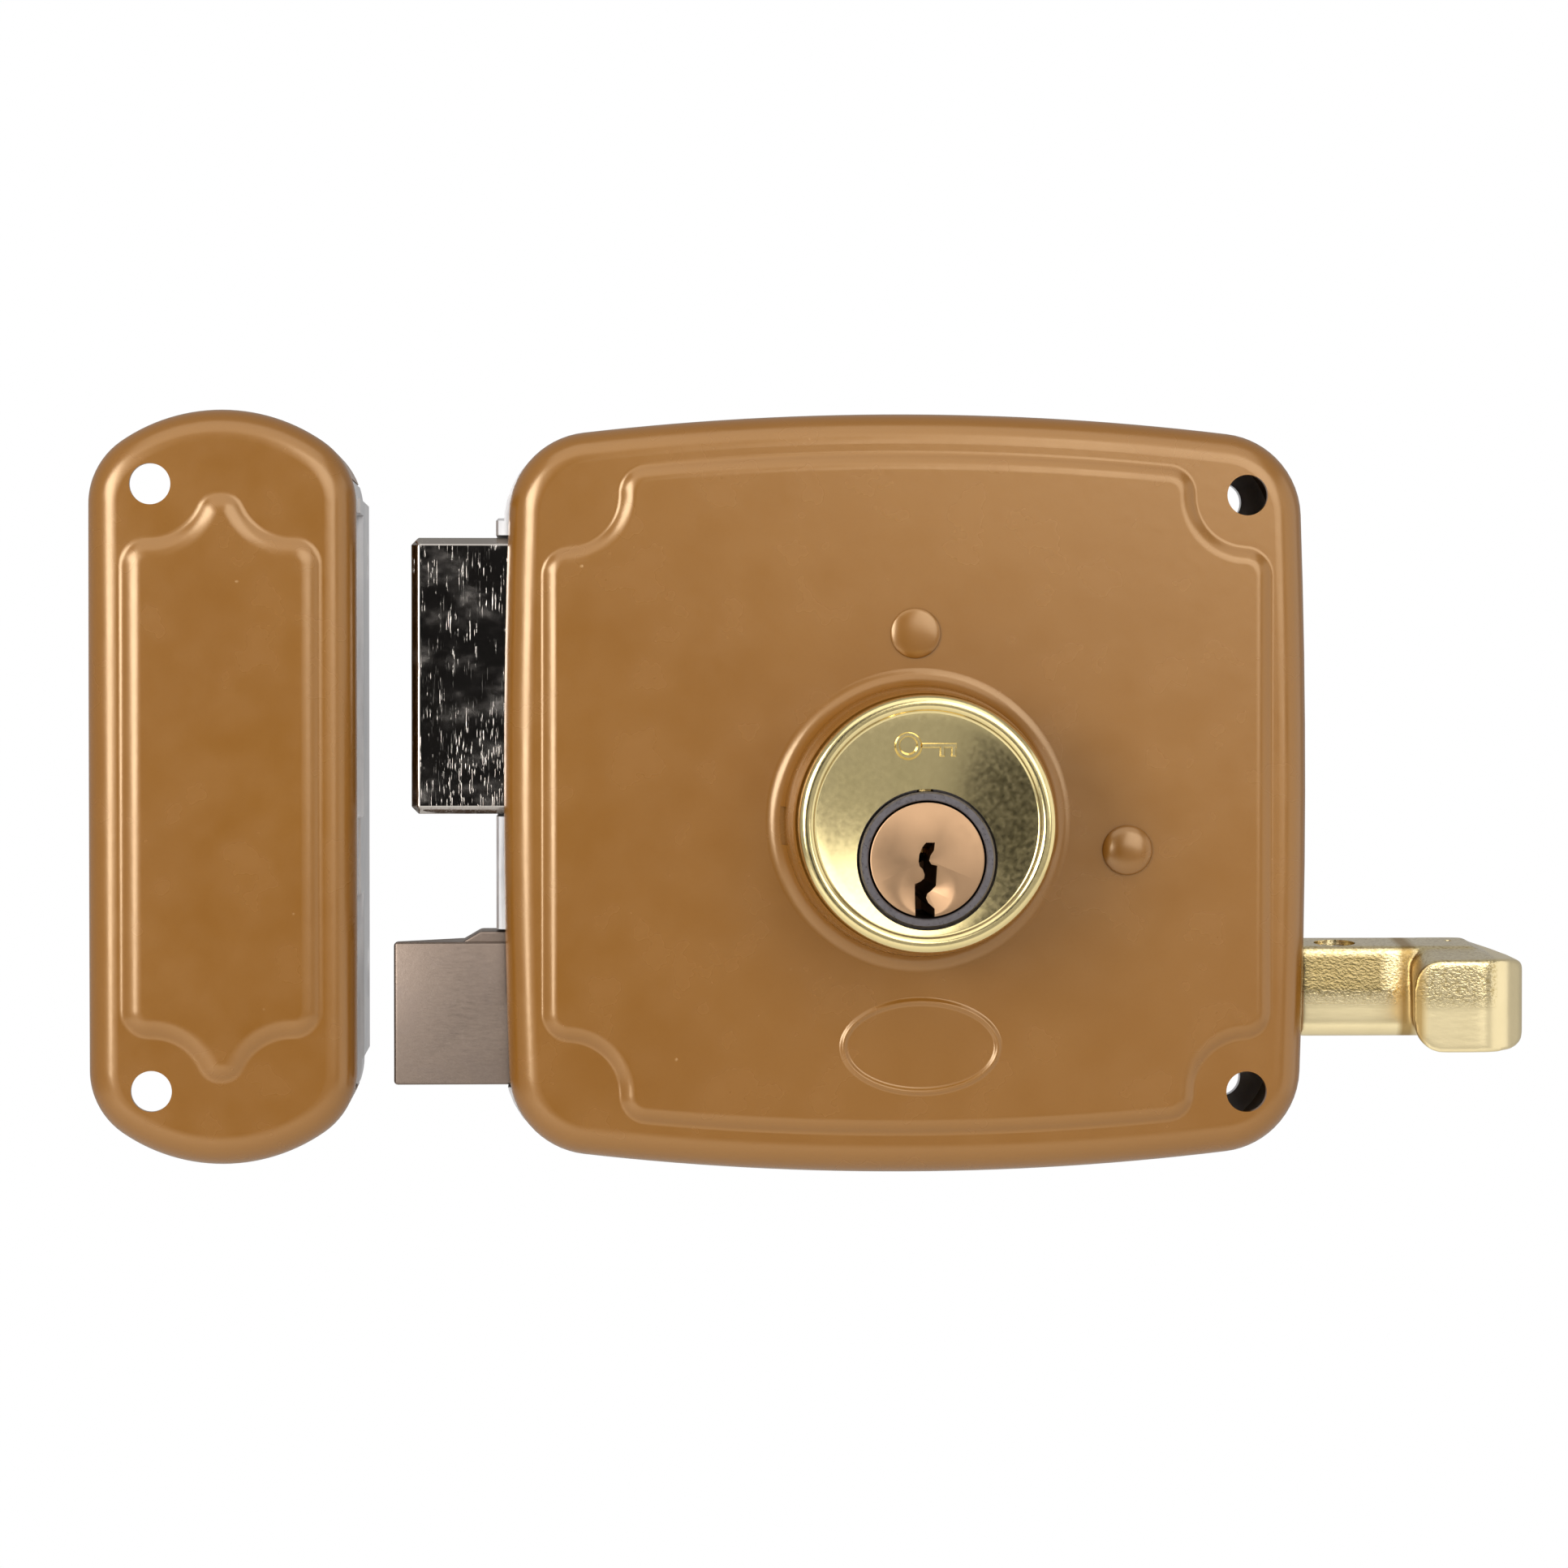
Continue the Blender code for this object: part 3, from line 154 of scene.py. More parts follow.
def rod(name, radius, start, end, at, axis="Y", sides=64):
    return turned(name, ((0, start), (radius, start), (radius, end), (0, end)), at, axis, sides)


def modify(obj, kind, **settings):
    modifier = obj.modifiers.new(kind.lower(), kind)
    for key, value in settings.items():
        setattr(modifier, key, value)
    return obj


def applied(obj):
    """The object with its modifiers worked into its mesh."""
    graph = bpy.context.evaluated_depsgraph_get()
    mesh = bpy.data.meshes.new_from_object(obj.evaluated_get(graph))
    obj.modifiers.clear()
    obj.data = mesh
    return obj


def combine(obj, operation, *others):
    """Joins others to the object or cuts them from it, and removes them."""
    for other in others:
        modify(obj, "BOOLEAN", operation=operation, object=other, solver="EXACT")
    applied(obj)
    for other in others:
        bpy.data.objects.remove(other)


def resharpen(obj, angle=30):
    """Smooth again after a Boolean, but for edges sharper than the angle in degrees."""
    obj.data.shade_smooth()
    obj.data.set_sharp_from_angle(angle=math.radians(angle))
    return obj


def bevelled(obj, width, segments):
    return applied(modify(obj, "BEVEL", width=width, segments=segments, limit_method="ANGLE"))


def arc(centre, radius, start, end, steps):
    angles = [start + (end - start) * k / steps for k in range(steps + 1)]
    return [(centre[0] + radius * math.cos(a), centre[1] + radius * math.sin(a)) for a in angles]


def quarter_round(radius, steps):
    """(how far in, how far along) for points round a quarter circle of an edge."""
    for k in range(steps + 1):
        a = math.pi / 2 * k / steps
        yield radius * (1 - math.cos(a)), radius * (1 - math.sin(a))


def circle(sides):
    """Points round a circle of radius 1, each one once."""
    return arc((0, 0), 1.0, 0, TURN, sides)[:-1]


def four_quadrants(quarter):
    """The whole outline from its first quadrant, which runs from the +X axis to the +Z axis."""
    half = quarter + [(-x, z) for x, z in reversed(quarter)]
    whole = half + [(x, -z) for x, z in reversed(half)]
    return [p for k, p in enumerate(whole) if math.dist(p, whole[k - 1]) > SAME_POINT]


def centre_of(node):
    low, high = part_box(node)
    return (low + high) / 2


def stand_for(piece, body, material, *replaced):
    """Lets a piece ride on a body in place of CAD nodes, with the given material."""
    piece.data.materials.clear()
    piece.data.materials.append(material)
    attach(piece, body)
    if replaced:
        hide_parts(*replaced)
    return piece


def paint_node(node, material):
    data = nodes[node].data
    data.materials.clear()
    data.materials.append(material)


# ---------------------------------------------------------------- procedural materials

OFF_AXIS = (0.5, 0.7, 0.4)  # turns the noise's cells so that streaks don't line up with them


class Finish:
    """A Principled material with short ways to add procedural detail in object space."""

    def __init__(self, name, colour, metallic, roughness, **sockets):
        self.material = bpy.data.materials.new(name)
        self.material.use_nodes = True
        self.tree = self.material.node_tree
        self.shader = self.tree.nodes["Principled BSDF"]
        self.shader.inputs["Metallic"].default_value = metallic
        self.shader.inputs["Roughness"].default_value = roughness
        for socket, value in sockets.items():
            self.shader.inputs[socket.replace("_", " ")].default_value = value
        self.colour = (*colour, 1.0)
        self.shader.inputs["Base Color"].default_value = self.colour
        self.colour_from = None
        self.normal_from = None
        self.place = self.node("ShaderNodeTexCoord").outputs["Object"]
        self.split = None

    def node(self, kind, **settings):
        made = self.tree.nodes.new(kind)
        for key, value in settings.items():
            setattr(made, key, value)
        return made

    def link(self, start, end):
        self.tree.links.new(start, end)

    def noise(self, size, detail, rough=0.5, stretch=(1, 1, 1), distortion=0.0):
        """Noise of about a size in metres; a small stretch along an axis draws it out into streaks."""
        made = self.node("ShaderNodeTexNoise")
        made.inputs["Scale"].default_value = 1 / size
        made.inputs["Detail"].default_value = detail
        made.inputs["Roughness"].default_value = rough
        made.inputs["Distortion"].default_value = distortion
        mapping = self.node("ShaderNodeMapping")
        mapping.inputs["Scale"].default_value = stretch
        mapping.inputs["Rotation"].default_value = OFF_AXIS
        self.link(self.place, mapping.inputs["Vector"])
        self.link(mapping.outputs["Vector"], made.inputs["Vector"])
        return made.outputs["Fac"]

    def ramp(self, value, low, high, from_low=0.0, from_high=1.0):
        made = self.node("ShaderNodeMapRange")
        made.inputs["From Min"].default_value = from_low
        made.inputs["From Max"].default_value = from_high
        made.inputs["To Min"].default_value = low
        made.inputs["To Max"].default_value = high
        self.link(value, made.inputs["Value"])
        return made.outputs["Result"]

    def across(self, axis, low, high, start, end):
        """A value that goes from low to high between two places on an axis."""
        if self.split is None:
            self.split = self.node("ShaderNodeSeparateXYZ")
            self.link(self.place, self.split.inputs["Vector"])
        return self.ramp(self.split.outputs[axis], low, high, start, end)

    def times(self, first, second):
        made = self.node("ShaderNodeMath", operation="MULTIPLY")
        for socket, value in zip(made.inputs, (first, second)):
            if isinstance(value, float):
                socket.default_value = value
            else:
                self.link(value, socket)
        return made.outputs["Value"]

    def plus(self, first, second):
        made = self.node("ShaderNodeMath", operation="ADD")
        self.link(first, made.inputs[0])
        self.link(second, made.inputs[1])
        return made.outputs["Value"]

    def tint(self, factor, colour):
        """Mixes a colour in by a factor that varies over the surface."""
        mix = self.node("ShaderNodeMix", data_type="RGBA")
        self.link(factor, mix.inputs["Factor"])
        sockets = [s for s in mix.inputs if s.type == "RGBA"]
        sockets[0].default_value = self.colour
        if self.colour_from is not None:
            self.link(self.colour_from, sockets[0])
        sockets[1].default_value = (*colour, 1.0)
        self.colour_from = next(s for s in mix.outputs if s.type == "RGBA")
        self.link(self.colour_from, self.shader.inputs["Base Color"])

    def roughness(self, value):
        self.link(value, self.shader.inputs["Roughness"])

    def bump(self, height, depth):
        made = self.node("ShaderNodeBump")
        made.inputs["Distance"].default_value = depth
        self.link(height, made.inputs["Height"])
        if self.normal_from is not None:
            self.link(self.normal_from, made.inputs["Normal"])
        self.normal_from = made.outputs["Normal"]
        self.link(self.normal_from, self.shader.inputs["Normal"])


def ochre_paint():
    """Smooth ochre-brown stove enamel: faint orange peel, slow colour drift and a few dust nibs."""
    finish = Finish("ochre_enamel", (0.189, 0.0735, 0.0085), 0.0, 0.27, IOR=1.64, Specular_IOR_Level=0.95,
                    Specular_Tint=(1.0, 0.75, 0.48, 1.0), Coat_Weight=0.05, Coat_Roughness=0.12)
    drift = finish.noise(24 * MM, 2.0)
    finish.tint(finish.ramp(drift, 0.0, 0.5, 0.35, 0.75), (0.212, 0.087, 0.012))
    grain = finish.noise(0.35 * MM, 4.0, 0.7)
    finish.tint(finish.ramp(grain, 0.0, 0.14, 0.45, 0.8), (0.139, 0.051, 0.0065))
    specks = finish.node("ShaderNodeTexVoronoi", feature="F1")
    specks.inputs["Scale"].default_value = 1 / (4.2 * MM)
    finish.link(finish.place, specks.inputs["Vector"])
    nib = finish.ramp(specks.outputs["Distance"], 1.0, 0.0, 0.02, 0.055)
    chance = finish.ramp(finish.noise(9 * MM, 0.0), 0.0, 1.0, 0.56, 0.64)
    finish.tint(finish.times(finish.times(nib, chance), 0.5), (0.42, 0.25, 0.10))
    finish.roughness(finish.ramp(finish.noise(6 * MM, 3.0), 0.22, 0.29, 0.3, 0.7))
    finish.bump(finish.noise(1.6 * MM, 2.0), 0.010 * MM)
    finish.bump(finish.times(nib, chance), 0.02 * MM)
    return finish.material


def zinc_plate():
    """Zinc-plated sheet: a long rolled grain and blue-grey patches."""
    finish = Finish("zinc_plate", (0.78, 0.765, 0.76), 1.0, 0.40)
    finish.tint(finish.ramp(finish.noise(7 * MM, 4.0, 0.6), 0.0, 0.6, 0.4, 0.7), (0.62, 0.625, 0.65))
    grain = finish.noise(0.5 * MM, 5.0, 0.7, (1, 1, 0.05))
    finish.tint(finish.ramp(grain, 0.0, 0.3, 0.5, 0.8), (0.90, 0.875, 0.84))
    finish.roughness(finish.ramp(grain, 0.34, 0.52, 0.3, 0.7))
    finish.bump(grain, 0.01 * MM)
    return finish.material


def bright_nickel():
    """Bright nickel over drawn steel: a mirror with draw marks, cloudy patches and a worn lower corner."""
    finish = Finish("bright_nickel", (0.46, 0.42, 0.38), 1.0, 0.06)
    low = finish.across("Z", 1.0, 0.0, 0, 12 * MM)
    right = finish.across("X", 0.05, 1.0, -57 * MM, -50 * MM)
    scratches = finish.noise(0.11 * MM, 2.0, 0.6, (1, 1, 0.02))
    lines = finish.ramp(scratches, 0.0, 0.8, 0.59, 0.77)
    broken = finish.ramp(finish.noise(0.9 * MM, 3.0, 0.7, (1, 1, 0.3)), 0.0, 1.0, 0.50, 0.64)
    dashes = finish.ramp(finish.noise(0.12 * MM, 1.0, 0.5, (1, 1, 0.07)), 0.0, 0.9, 0.64, 0.79)
    worn = finish.ramp(finish.noise(6 * MM, 2.0, 0.5), 0.25, 0.7, 0.40, 0.62)
    fine = finish.times(lines, broken)
    wear = finish.plus(worn, finish.times(finish.times(low, right), 0.5))
    marks = finish.plus(finish.times(fine, wear), finish.times(finish.times(dashes, low), right))
    cloud = finish.ramp(finish.noise(5.5 * MM, 4.0, 0.6, (1, 1, 1.6)), 0.0, 0.20, 0.45, 0.70)
    finish.tint(finish.times(marks, 0.9), (0.95, 0.88, 0.80))
    finish.roughness(finish.plus(finish.ramp(marks, 0.05, 0.62), cloud))
    finish.bump(scratches, 0.0012 * MM)
    finish.bump(marks, 0.03 * MM)
    return finish.material


def satin_nickel():
    """Satin nickel plate on a casting: warm grey, with faint stains and streaks of gloss."""
    finish = Finish("satin_nickel", (0.215, 0.165, 0.132), 1.0, 0.42)
    stains = finish.noise(4 * MM, 4.0, 0.6, (1, 1, 1), 1.0)
    finish.tint(finish.ramp(stains, 0.0, 0.5, 0.45, 0.75), (0.20, 0.155, 0.13))
    finish.tint(finish.ramp(finish.noise(0.5 * MM, 4.0, 0.7), 0.0, 0.25, 0.5, 0.8), (0.32, 0.26, 0.215))
    scratches = finish.noise(0.25 * MM, 3.0, 0.7, (0.2, 1, 1))
    finish.roughness(finish.ramp(scratches, 0.38, 0.5, 0.3, 0.7))
    finish.bump(finish.noise(0.22 * MM, 3.0), 0.006 * MM)
    return finish.material


def ring_steel():
    """Turned steel of the cylinder's nose: dark, with a mottled gloss."""
    finish = Finish("turned_steel", (0.17, 0.155, 0.16), 1.0, 0.28)
    finish.tint(finish.ramp(finish.noise(0.8 * MM, 4.0), 0.0, 0.5, 0.4, 0.8), (0.10, 0.09, 0.093))
    finish.roughness(finish.ramp(finish.noise(0.3 * MM, 3.0), 0.26, 0.42, 0.3, 0.7))
    finish.bump(finish.noise(0.2 * MM, 3.0), 0.005 * MM)
    return finish.material


def rose_brass():
    """Pale brass plate: polished, with a very fine pebble and darker tarnish in patches."""
    finish = Finish("pale_brass", (0.75, 0.61, 0.30), 1.0, 0.2)
    finish.tint(finish.ramp(finish.noise(5 * MM, 3.0), 0.0, 0.4, 0.45, 0.75), (0.66, 0.54, 0.25))
    finish.tint(finish.ramp(finish.noise(0.4 * MM, 4.0, 0.7), 0.0, 0.25, 0.55, 0.8), (0.50, 0.39, 0.16))
    finish.roughness(finish.ramp(finish.noise(0.6 * MM, 3.0), 0.14, 0.21, 0.3, 0.7))
    finish.bump(finish.noise(0.22 * MM, 3.0, 0.6), 0.0008 * MM)
    return finish.material


def handle_brass():
    """Brass-plated casting: satin, with a pebbled skin on its upper half that breaks up highlights.

    Painted shade darkens its colour in the bar's recess, in the corner beside the pad and in the pebble's
    low spots on its upper half.
    """
    finish = Finish("cast_brass", (0.84, 0.70, 0.41), 1.0, 0.26)
    finish.tint(finish.ramp(finish.noise(3 * MM, 3.0), 0.0, 0.4, 0.45, 0.75), (0.75, 0.62, 0.35))
    pebble = finish.noise(0.32 * MM, 2.0, 0.5, (0.8, 1, 1.2))
    upper = finish.times(finish.across("Z", 0.0, 1.0, -26.0 * MM, -24.0 * MM),
                         finish.across("X", 1.0, 0.0, 70.0 * MM, 70.6 * MM))
    # The pebbled skin is real; the darker colour in its low spots on the upper half is painted shade.
    finish.tint(finish.times(finish.ramp(pebble, 0.7, 0.1, 0.33, 0.55), upper), (0.42, 0.30, 0.10))
    beside_pad = finish.times(finish.across("X", 0.0, 1.0, 59.5 * MM, 60.3 * MM),
                              finish.across("X", 1.0, 0.0, 61.2 * MM, 62.2 * MM))
    shaded_corner = finish.times(beside_pad, finish.across("Y", 0.0, 1.0, -39.2 * MM, -37.6 * MM))
    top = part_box("pull_handle")[1].z
    recess = finish.times(finish.across("Z", 0.0, 1.0, -24.6 * MM, -23.6 * MM),
                          finish.across("Z", 1.0, 0.0, top - 2.1 * MM, top - 1.2 * MM))
    shade = finish.times(recess, finish.across("X", 1.0, 0.0, 57.4 * MM, 58.8 * MM))
    # Painted shade: the bar's recess is darkened in colour.
    finish.tint(finish.times(shade, 0.9), (0.25, 0.185, 0.075))
    # Painted shade: the corner beside the pad is darkened in colour and made rougher.
    finish.tint(finish.times(shaded_corner, 0.85), (0.34, 0.21, 0.06))
    finish.roughness(finish.plus(finish.ramp(upper, 0.30, 0.20), finish.times(shaded_corner, 0.2)))
    finish.bump(finish.times(pebble, upper), 0.036 * MM)
    finish.bump(finish.noise(0.9 * MM, 2.0, 0.5, (0.5, 1, 1.6)), 0.010 * MM)
    return finish.material


def turned_bronze():
    """Rose bronze faced on a lathe: rings too fine to see that spread the light into fans."""
    finish = Finish("turned_bronze", (0.375, 0.23, 0.128), 1.0, 0.42, Anisotropic=0.6)
    tangent = finish.node("ShaderNodeTangent", direction_type="RADIAL", axis="Y")
    finish.link(tangent.outputs["Tangent"], finish.shader.inputs["Tangent"])
    finish.tint(finish.ramp(finish.noise(2.5 * MM, 3.0), 0.0, 0.2, 0.4, 0.8), (0.32, 0.195, 0.107))
    finish.roughness(finish.ramp(finish.noise(1.0 * MM, 2.0), 0.40, 0.45, 0.3, 0.7))
    finish.bump(finish.noise(0.8 * MM, 2.0), 0.0008 * MM)
    return finish.material


def plain_metal(name, colour, roughness):
    """Metal of a small machined piece, whose colour and gloss waver a little."""
    size = 0.5 * MM
    finish = Finish(name, colour, 1.0, roughness)
    dark = tuple(0.7 * c for c in colour)
    finish.tint(finish.ramp(finish.noise(4 * size, 4.0), 0.0, 0.5, 0.4, 0.8), dark)
    finish.roughness(finish.ramp(finish.noise(size, 3.0), roughness * 0.8, roughness * 1.3, 0.3, 0.7))
    finish.bump(finish.noise(size, 3.0), 0.006 * MM)
    return finish.material


PAINT = ochre_paint()
ZINC = zinc_plate()
BRIGHT_NICKEL = bright_nickel()
SATIN_NICKEL = satin_nickel()
RING_STEEL = ring_steel()
ROSE_BRASS = rose_brass()
HANDLE_BRASS = handle_brass()
BRONZE = turned_bronze()
PIN_BRASS = plain_metal("pin_brass", (0.70, 0.52, 0.22), 0.28)
SPRING_STEEL = plain_metal("spring_steel", (0.33, 0.33, 0.35), 0.32)
PLATED_STEEL = plain_metal("plated_steel", (0.48, 0.47, 0.46), 0.36)


# ---------------------------------------------------------------- pressed covers

EDGE_ROUND = 3.6 * MM
PANEL_RAISE = 0.8 * MM
PANEL_FILLET = 3.5 * MM
SCALLOP = 6.0 * MM  # radius of the panel's bend round each screw hole
SCREW_HOLE = 2.4 * MM
SUPPORT = 0.08 * MM  # a narrow flat ring beside each curve keeps the flats' shading flat
SETTLE = 30  # rounds that settle where two tangent arcs meet
CASE_END_BOW = 325 * MM
STRAIGHT = 20.0  # a bow so wide that the side looks straight
FLANGE_FRONT_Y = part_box("base_plate")[0].y

case_low, case_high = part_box("case_cover")
strike_low, strike_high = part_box("strike_cover")
CASE_HALF_W = case_high.x
CASE_HALF_H = case_high.z
STRIKE = Vector(((strike_low.x + strike_high.x) / 2, 0.0, (strike_low.z + strike_high.z) / 2))
STRIKE_HALF_W = (strike_high.x - strike_low.x) / 2
STRIKE_HALF_H = (strike_high.z - strike_low.z) / 2
PANEL_Y = strike_low.y
FACE_Y = PANEL_Y + PANEL_RAISE
BACK_Y = case_high.y
BOSS_FRONT_Y = case_low.y
rose_low, rose_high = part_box("cylinder_rose")
BOSS = Vector(((rose_low.x + rose_high.x) / 2, 0.0, (rose_low.z + rose_high.z) / 2))
AXIS = Vector(joints["plug_turn"]["pos_m"])
AXIS.y = 0.0
PILLARS = {name: centre_of(name) for name in ("pillar_upper", "pillar_lower")}


class BowedOutline:
    """A rectangle whose four sides are long arcs, joined by round corners. Insets share its centres.

    cut is how far round each corner the forend takes the side wall's place.
    """

    def __init__(self, half_w, half_h, side_bow, end_bow, shaded_corner, cut):
        self.cut = cut
        self.side_centre = (half_w - side_bow, 0.0)
        self.end_centre = (0.0, half_h - end_bow)
        self.side_bow = side_bow
        self.end_bow = end_bow
        self.shaded_corner = shaded_corner
        x, z = half_w - shaded_corner, half_h - shaded_corner
        for _ in range(SETTLE):
            x = self.side_centre[0] + math.sqrt((side_bow - shaded_corner) ** 2 - z ** 2)
            z = self.end_centre[1] + math.sqrt((end_bow - shaded_corner) ** 2 - x ** 2)
        self.corner_centre = (x, z)
        self.side_angle = math.atan2(z, x - self.side_centre[0])
        self.end_angle = math.atan2(z - self.end_centre[1], x)
        self.cut_z = z + shaded_corner * math.sin(cut)

    def points(self, inset=0.0):
        side_steps, corner_steps, end_steps = 4, 7, 14
        side = arc(self.side_centre, self.side_bow - inset, 0.0, self.side_angle, side_steps)
        lower = arc(self.corner_centre, self.shaded_corner - inset, self.side_angle, self.cut, corner_steps)
        upper = arc(self.corner_centre, self.shaded_corner - inset, self.cut, self.end_angle, corner_steps)
        end = arc(self.end_centre, self.end_bow - inset, self.end_angle, math.pi / 2, end_steps)
        return four_quadrants(side + lower[1:] + upper[1:] + end[1:])


def panel_outline(half_w, half_h, end_bow, hole, side_fillet, end_fillet, inset):
    """A panel whose corners bend inwards round the screw holes, with a fillet at each end of a bend."""
    side_x = half_w - side_fillet
    side_z = hole.z - math.sqrt((SCALLOP + side_fillet) ** 2 - (side_x - hole.x) ** 2)
    end_centre = (0.0, half_h - end_bow)
    end_x, end_z = 0.0, 0.0
    for _ in range(SETTLE):
        end_z = end_centre[1] + math.sqrt((end_bow - end_fillet) ** 2 - end_x ** 2)
        end_x = hole.x - math.sqrt((SCALLOP + end_fillet) ** 2 - (end_z - hole.z) ** 2)
    to_side = math.atan2(side_z - hole.z, side_x - hole.x)
    to_end = math.atan2(end_z - hole.z, end_x - hole.x)
    if to_end > 0:
        to_end -= TURN
    end_normal = math.atan2(end_z - end_centre[1], end_x)
    steps, bend_steps = 10, 16
    side_round = arc((side_x, side_z), side_fillet - inset, 0.0, to_side + math.pi, steps)
    bend = arc((hole.x, hole.z), SCALLOP + inset, to_side, to_end, bend_steps)
    end_round = arc((end_x, end_z), end_fillet - inset, to_end + math.pi, end_normal, steps)
    end = arc(end_centre, end_bow - inset, end_normal, math.pi / 2, steps)
    quarter = [(half_w - inset, 0.0)] + side_round + bend[1:] + end_round[1:] + end[1:]
    return four_quadrants(quarter)


def fill_flat(bm, loops):
    """Fills the flat area between loops of vertices; loops inside the first are holes."""
    edges = []
    for loop in loops:
        for k, vertex in enumerate(loop):
            pair = (vertex, loop[(k + 1) % len(loop)])
            edges.append(bm.edges.get(pair) or bm.edges.new(pair))
    bmesh.ops.triangle_fill(bm, edges=edges, use_beauty=True)


class Skin:
    """The outside of a pressed cover, built ring by ring and then given the sheet's thickness."""

    def __init__(self, centre):
        self.bm = bmesh.new()
        self.centre = centre

    def ring(self, outline, y):
        return [self.bm.verts.new((x + self.centre.x, y, z + self.centre.z)) for x, z in outline]

    def circle(self, at, radius, y, sides=48):
        """A ring of vertices about a point measured from the cover's centre."""
        return self.ring(arc((at.x, at.z), radius, 0, TURN, sides)[:-1], y)

    def walls(self, outline, open_side):
        """The side walls and the rounded front edge. The wall at open_side stops at the forend."""
        levels = [(0.0, BACK_Y), (0.0, FLANGE_FRONT_Y - GAP)]
        levels += [(i, FACE_Y + a) for i, a in quarter_round(EDGE_ROUND, steps=10)]
        levels.append((EDGE_ROUND + SUPPORT, FACE_Y))
        base = outline.points()

        def kept(k):
            ends = (base[k], base[(k + 1) % len(base)])
            return any(x * open_side < 0 or abs(z) > outline.cut_z + SAME_HEIGHT for x, z in ends)

        rings = [self.ring(outline.points(inset), y) for inset, y in levels]
        quads(self.bm, rings[0], rings[1], kept)
        bridge(self.bm, rings[1:])
        loose = [v for v in rings[0] if not v.link_faces]
        bmesh.ops.delete(self.bm, geom=loose, context="VERTS")
        return rings[-1]

    def step(self, panel, slope):
        """The panel's rounded step, from the loop at its foot to the loop on its top."""
        steps = 14
        foot = 0.25  # the share of the step that curves out of the face before it rolls over
        rings = [self.ring(panel(-SUPPORT), FACE_Y)]
        for k in range(steps + 1):
            t = k / steps
            rise = t * t / foot if t < foot else 1 - (1 - t) ** 2 / (1 - foot)
            rings.append(self.ring(panel(slope * t), FACE_Y - PANEL_RAISE * rise))
        rings.append(self.ring(panel(slope + SUPPORT), PANEL_Y))
        bridge(self.bm, rings)
        return rings[0], rings[-1]

    def finish(self, name):
        bm = self.bm
        bmesh.ops.recalc_face_normals(bm, faces=bm.faces[:])
        front = min(bm.faces, key=lambda face: abs(face.calc_center_median().y - PANEL_Y) - face.calc_area())
        if front.normal.y > 0:
            bmesh.ops.reverse_faces(bm, faces=bm.faces[:])
        cover = add_piece(name, bm)
        modify(cover, "SOLIDIFY", thickness=SHEET, offset=-1.0, use_even_offset=True)
        return resharpen(applied(cover))


CASE_OUTLINE = BowedOutline(CASE_HALF_W, CASE_HALF_H, side_bow=900 * MM, end_bow=CASE_END_BOW,
                            shaded_corner=10.0 * MM, cut=math.radians(46))
STRIKE_OUTLINE = BowedOutline(STRIKE_HALF_W, STRIKE_HALF_H, side_bow=STRAIGHT, end_bow=20.7 * MM,
                              shaded_corner=9.0 * MM, cut=math.radians(20))
CASE_HOLE = Vector((40.1 * MM, 0.0, 35.2 * MM))
STRIKE_HOLE = Vector((8.2 * MM, 0.0, 35.5 * MM))


def case_panel(inset=0.0):
    side_margin, end_margin = 4.3 * MM, 4.5 * MM
    return panel_outline(CASE_HALF_W - side_margin, CASE_HALF_H - end_margin, CASE_END_BOW, CASE_HOLE,
                         PANEL_FILLET, PANEL_FILLET, inset)


def strike_panel(inset=0.0):
    side_margin, half_h, end_fillet = 3.8 * MM, 34.7 * MM, 2.85 * MM
    return panel_outline(STRIKE_HALF_W - side_margin, half_h, STRAIGHT, STRIKE_HOLE,
                         PANEL_FILLET, end_fillet, inset)


def add_boss(skin):
    """The round boss: a fillet at its foot and a slightly tapered wall."""
    foot, wall, end = 17.9 * MM, 15.8 * MM, 15.1 * MM
    fillet = foot - wall
    profile = [(foot + SUPPORT, PANEL_Y)]
    profile += [(wall + i, PANEL_Y - a) for i, a in list(quarter_round(fillet, steps=8))[::-1]]
    rise = [(wall - 0.15 * MM, PANEL_Y - 5 * MM), (end + 0.15 * MM, BOSS_FRONT_Y + 0.4 * MM),
            (end - 0.1 * MM, BOSS_FRONT_Y)]
    loops = [skin.circle(BOSS, r, y, sides=ROUND) for r, y in profile + rise]
    bridge(skin.bm, loops)
    return loops[0]


def add_oval(skin):
    """A plain oval line embossed below the boss."""
    centre = Vector((1.45 * MM, 0.0, -29.7 * MM))
    wide, tall = 9.6 * MM, 5.8 * MM
    profile = (  # millimetres in from the line's outer edge, and up from the panel
        (-0.08, 0.0), (0.0, 0.0), (0.2, 0.1), (0.38, 0.24), (0.5, 0.27), (0.62, 0.24), (0.8, 0.1),
        (1.0, 0.0), (1.08, 0.0))
    loops = []
    for inset, height in profile:
        points = [(centre.x + x * (wide - inset * MM), centre.z + z * (tall - inset * MM))
                  for x, z in circle(sides=72)]
        loops.append(skin.ring(points, PANEL_Y - height * MM))
    bridge(skin.bm, loops)
    fill_flat(skin.bm, [loops[-1]])
    return loops[0]


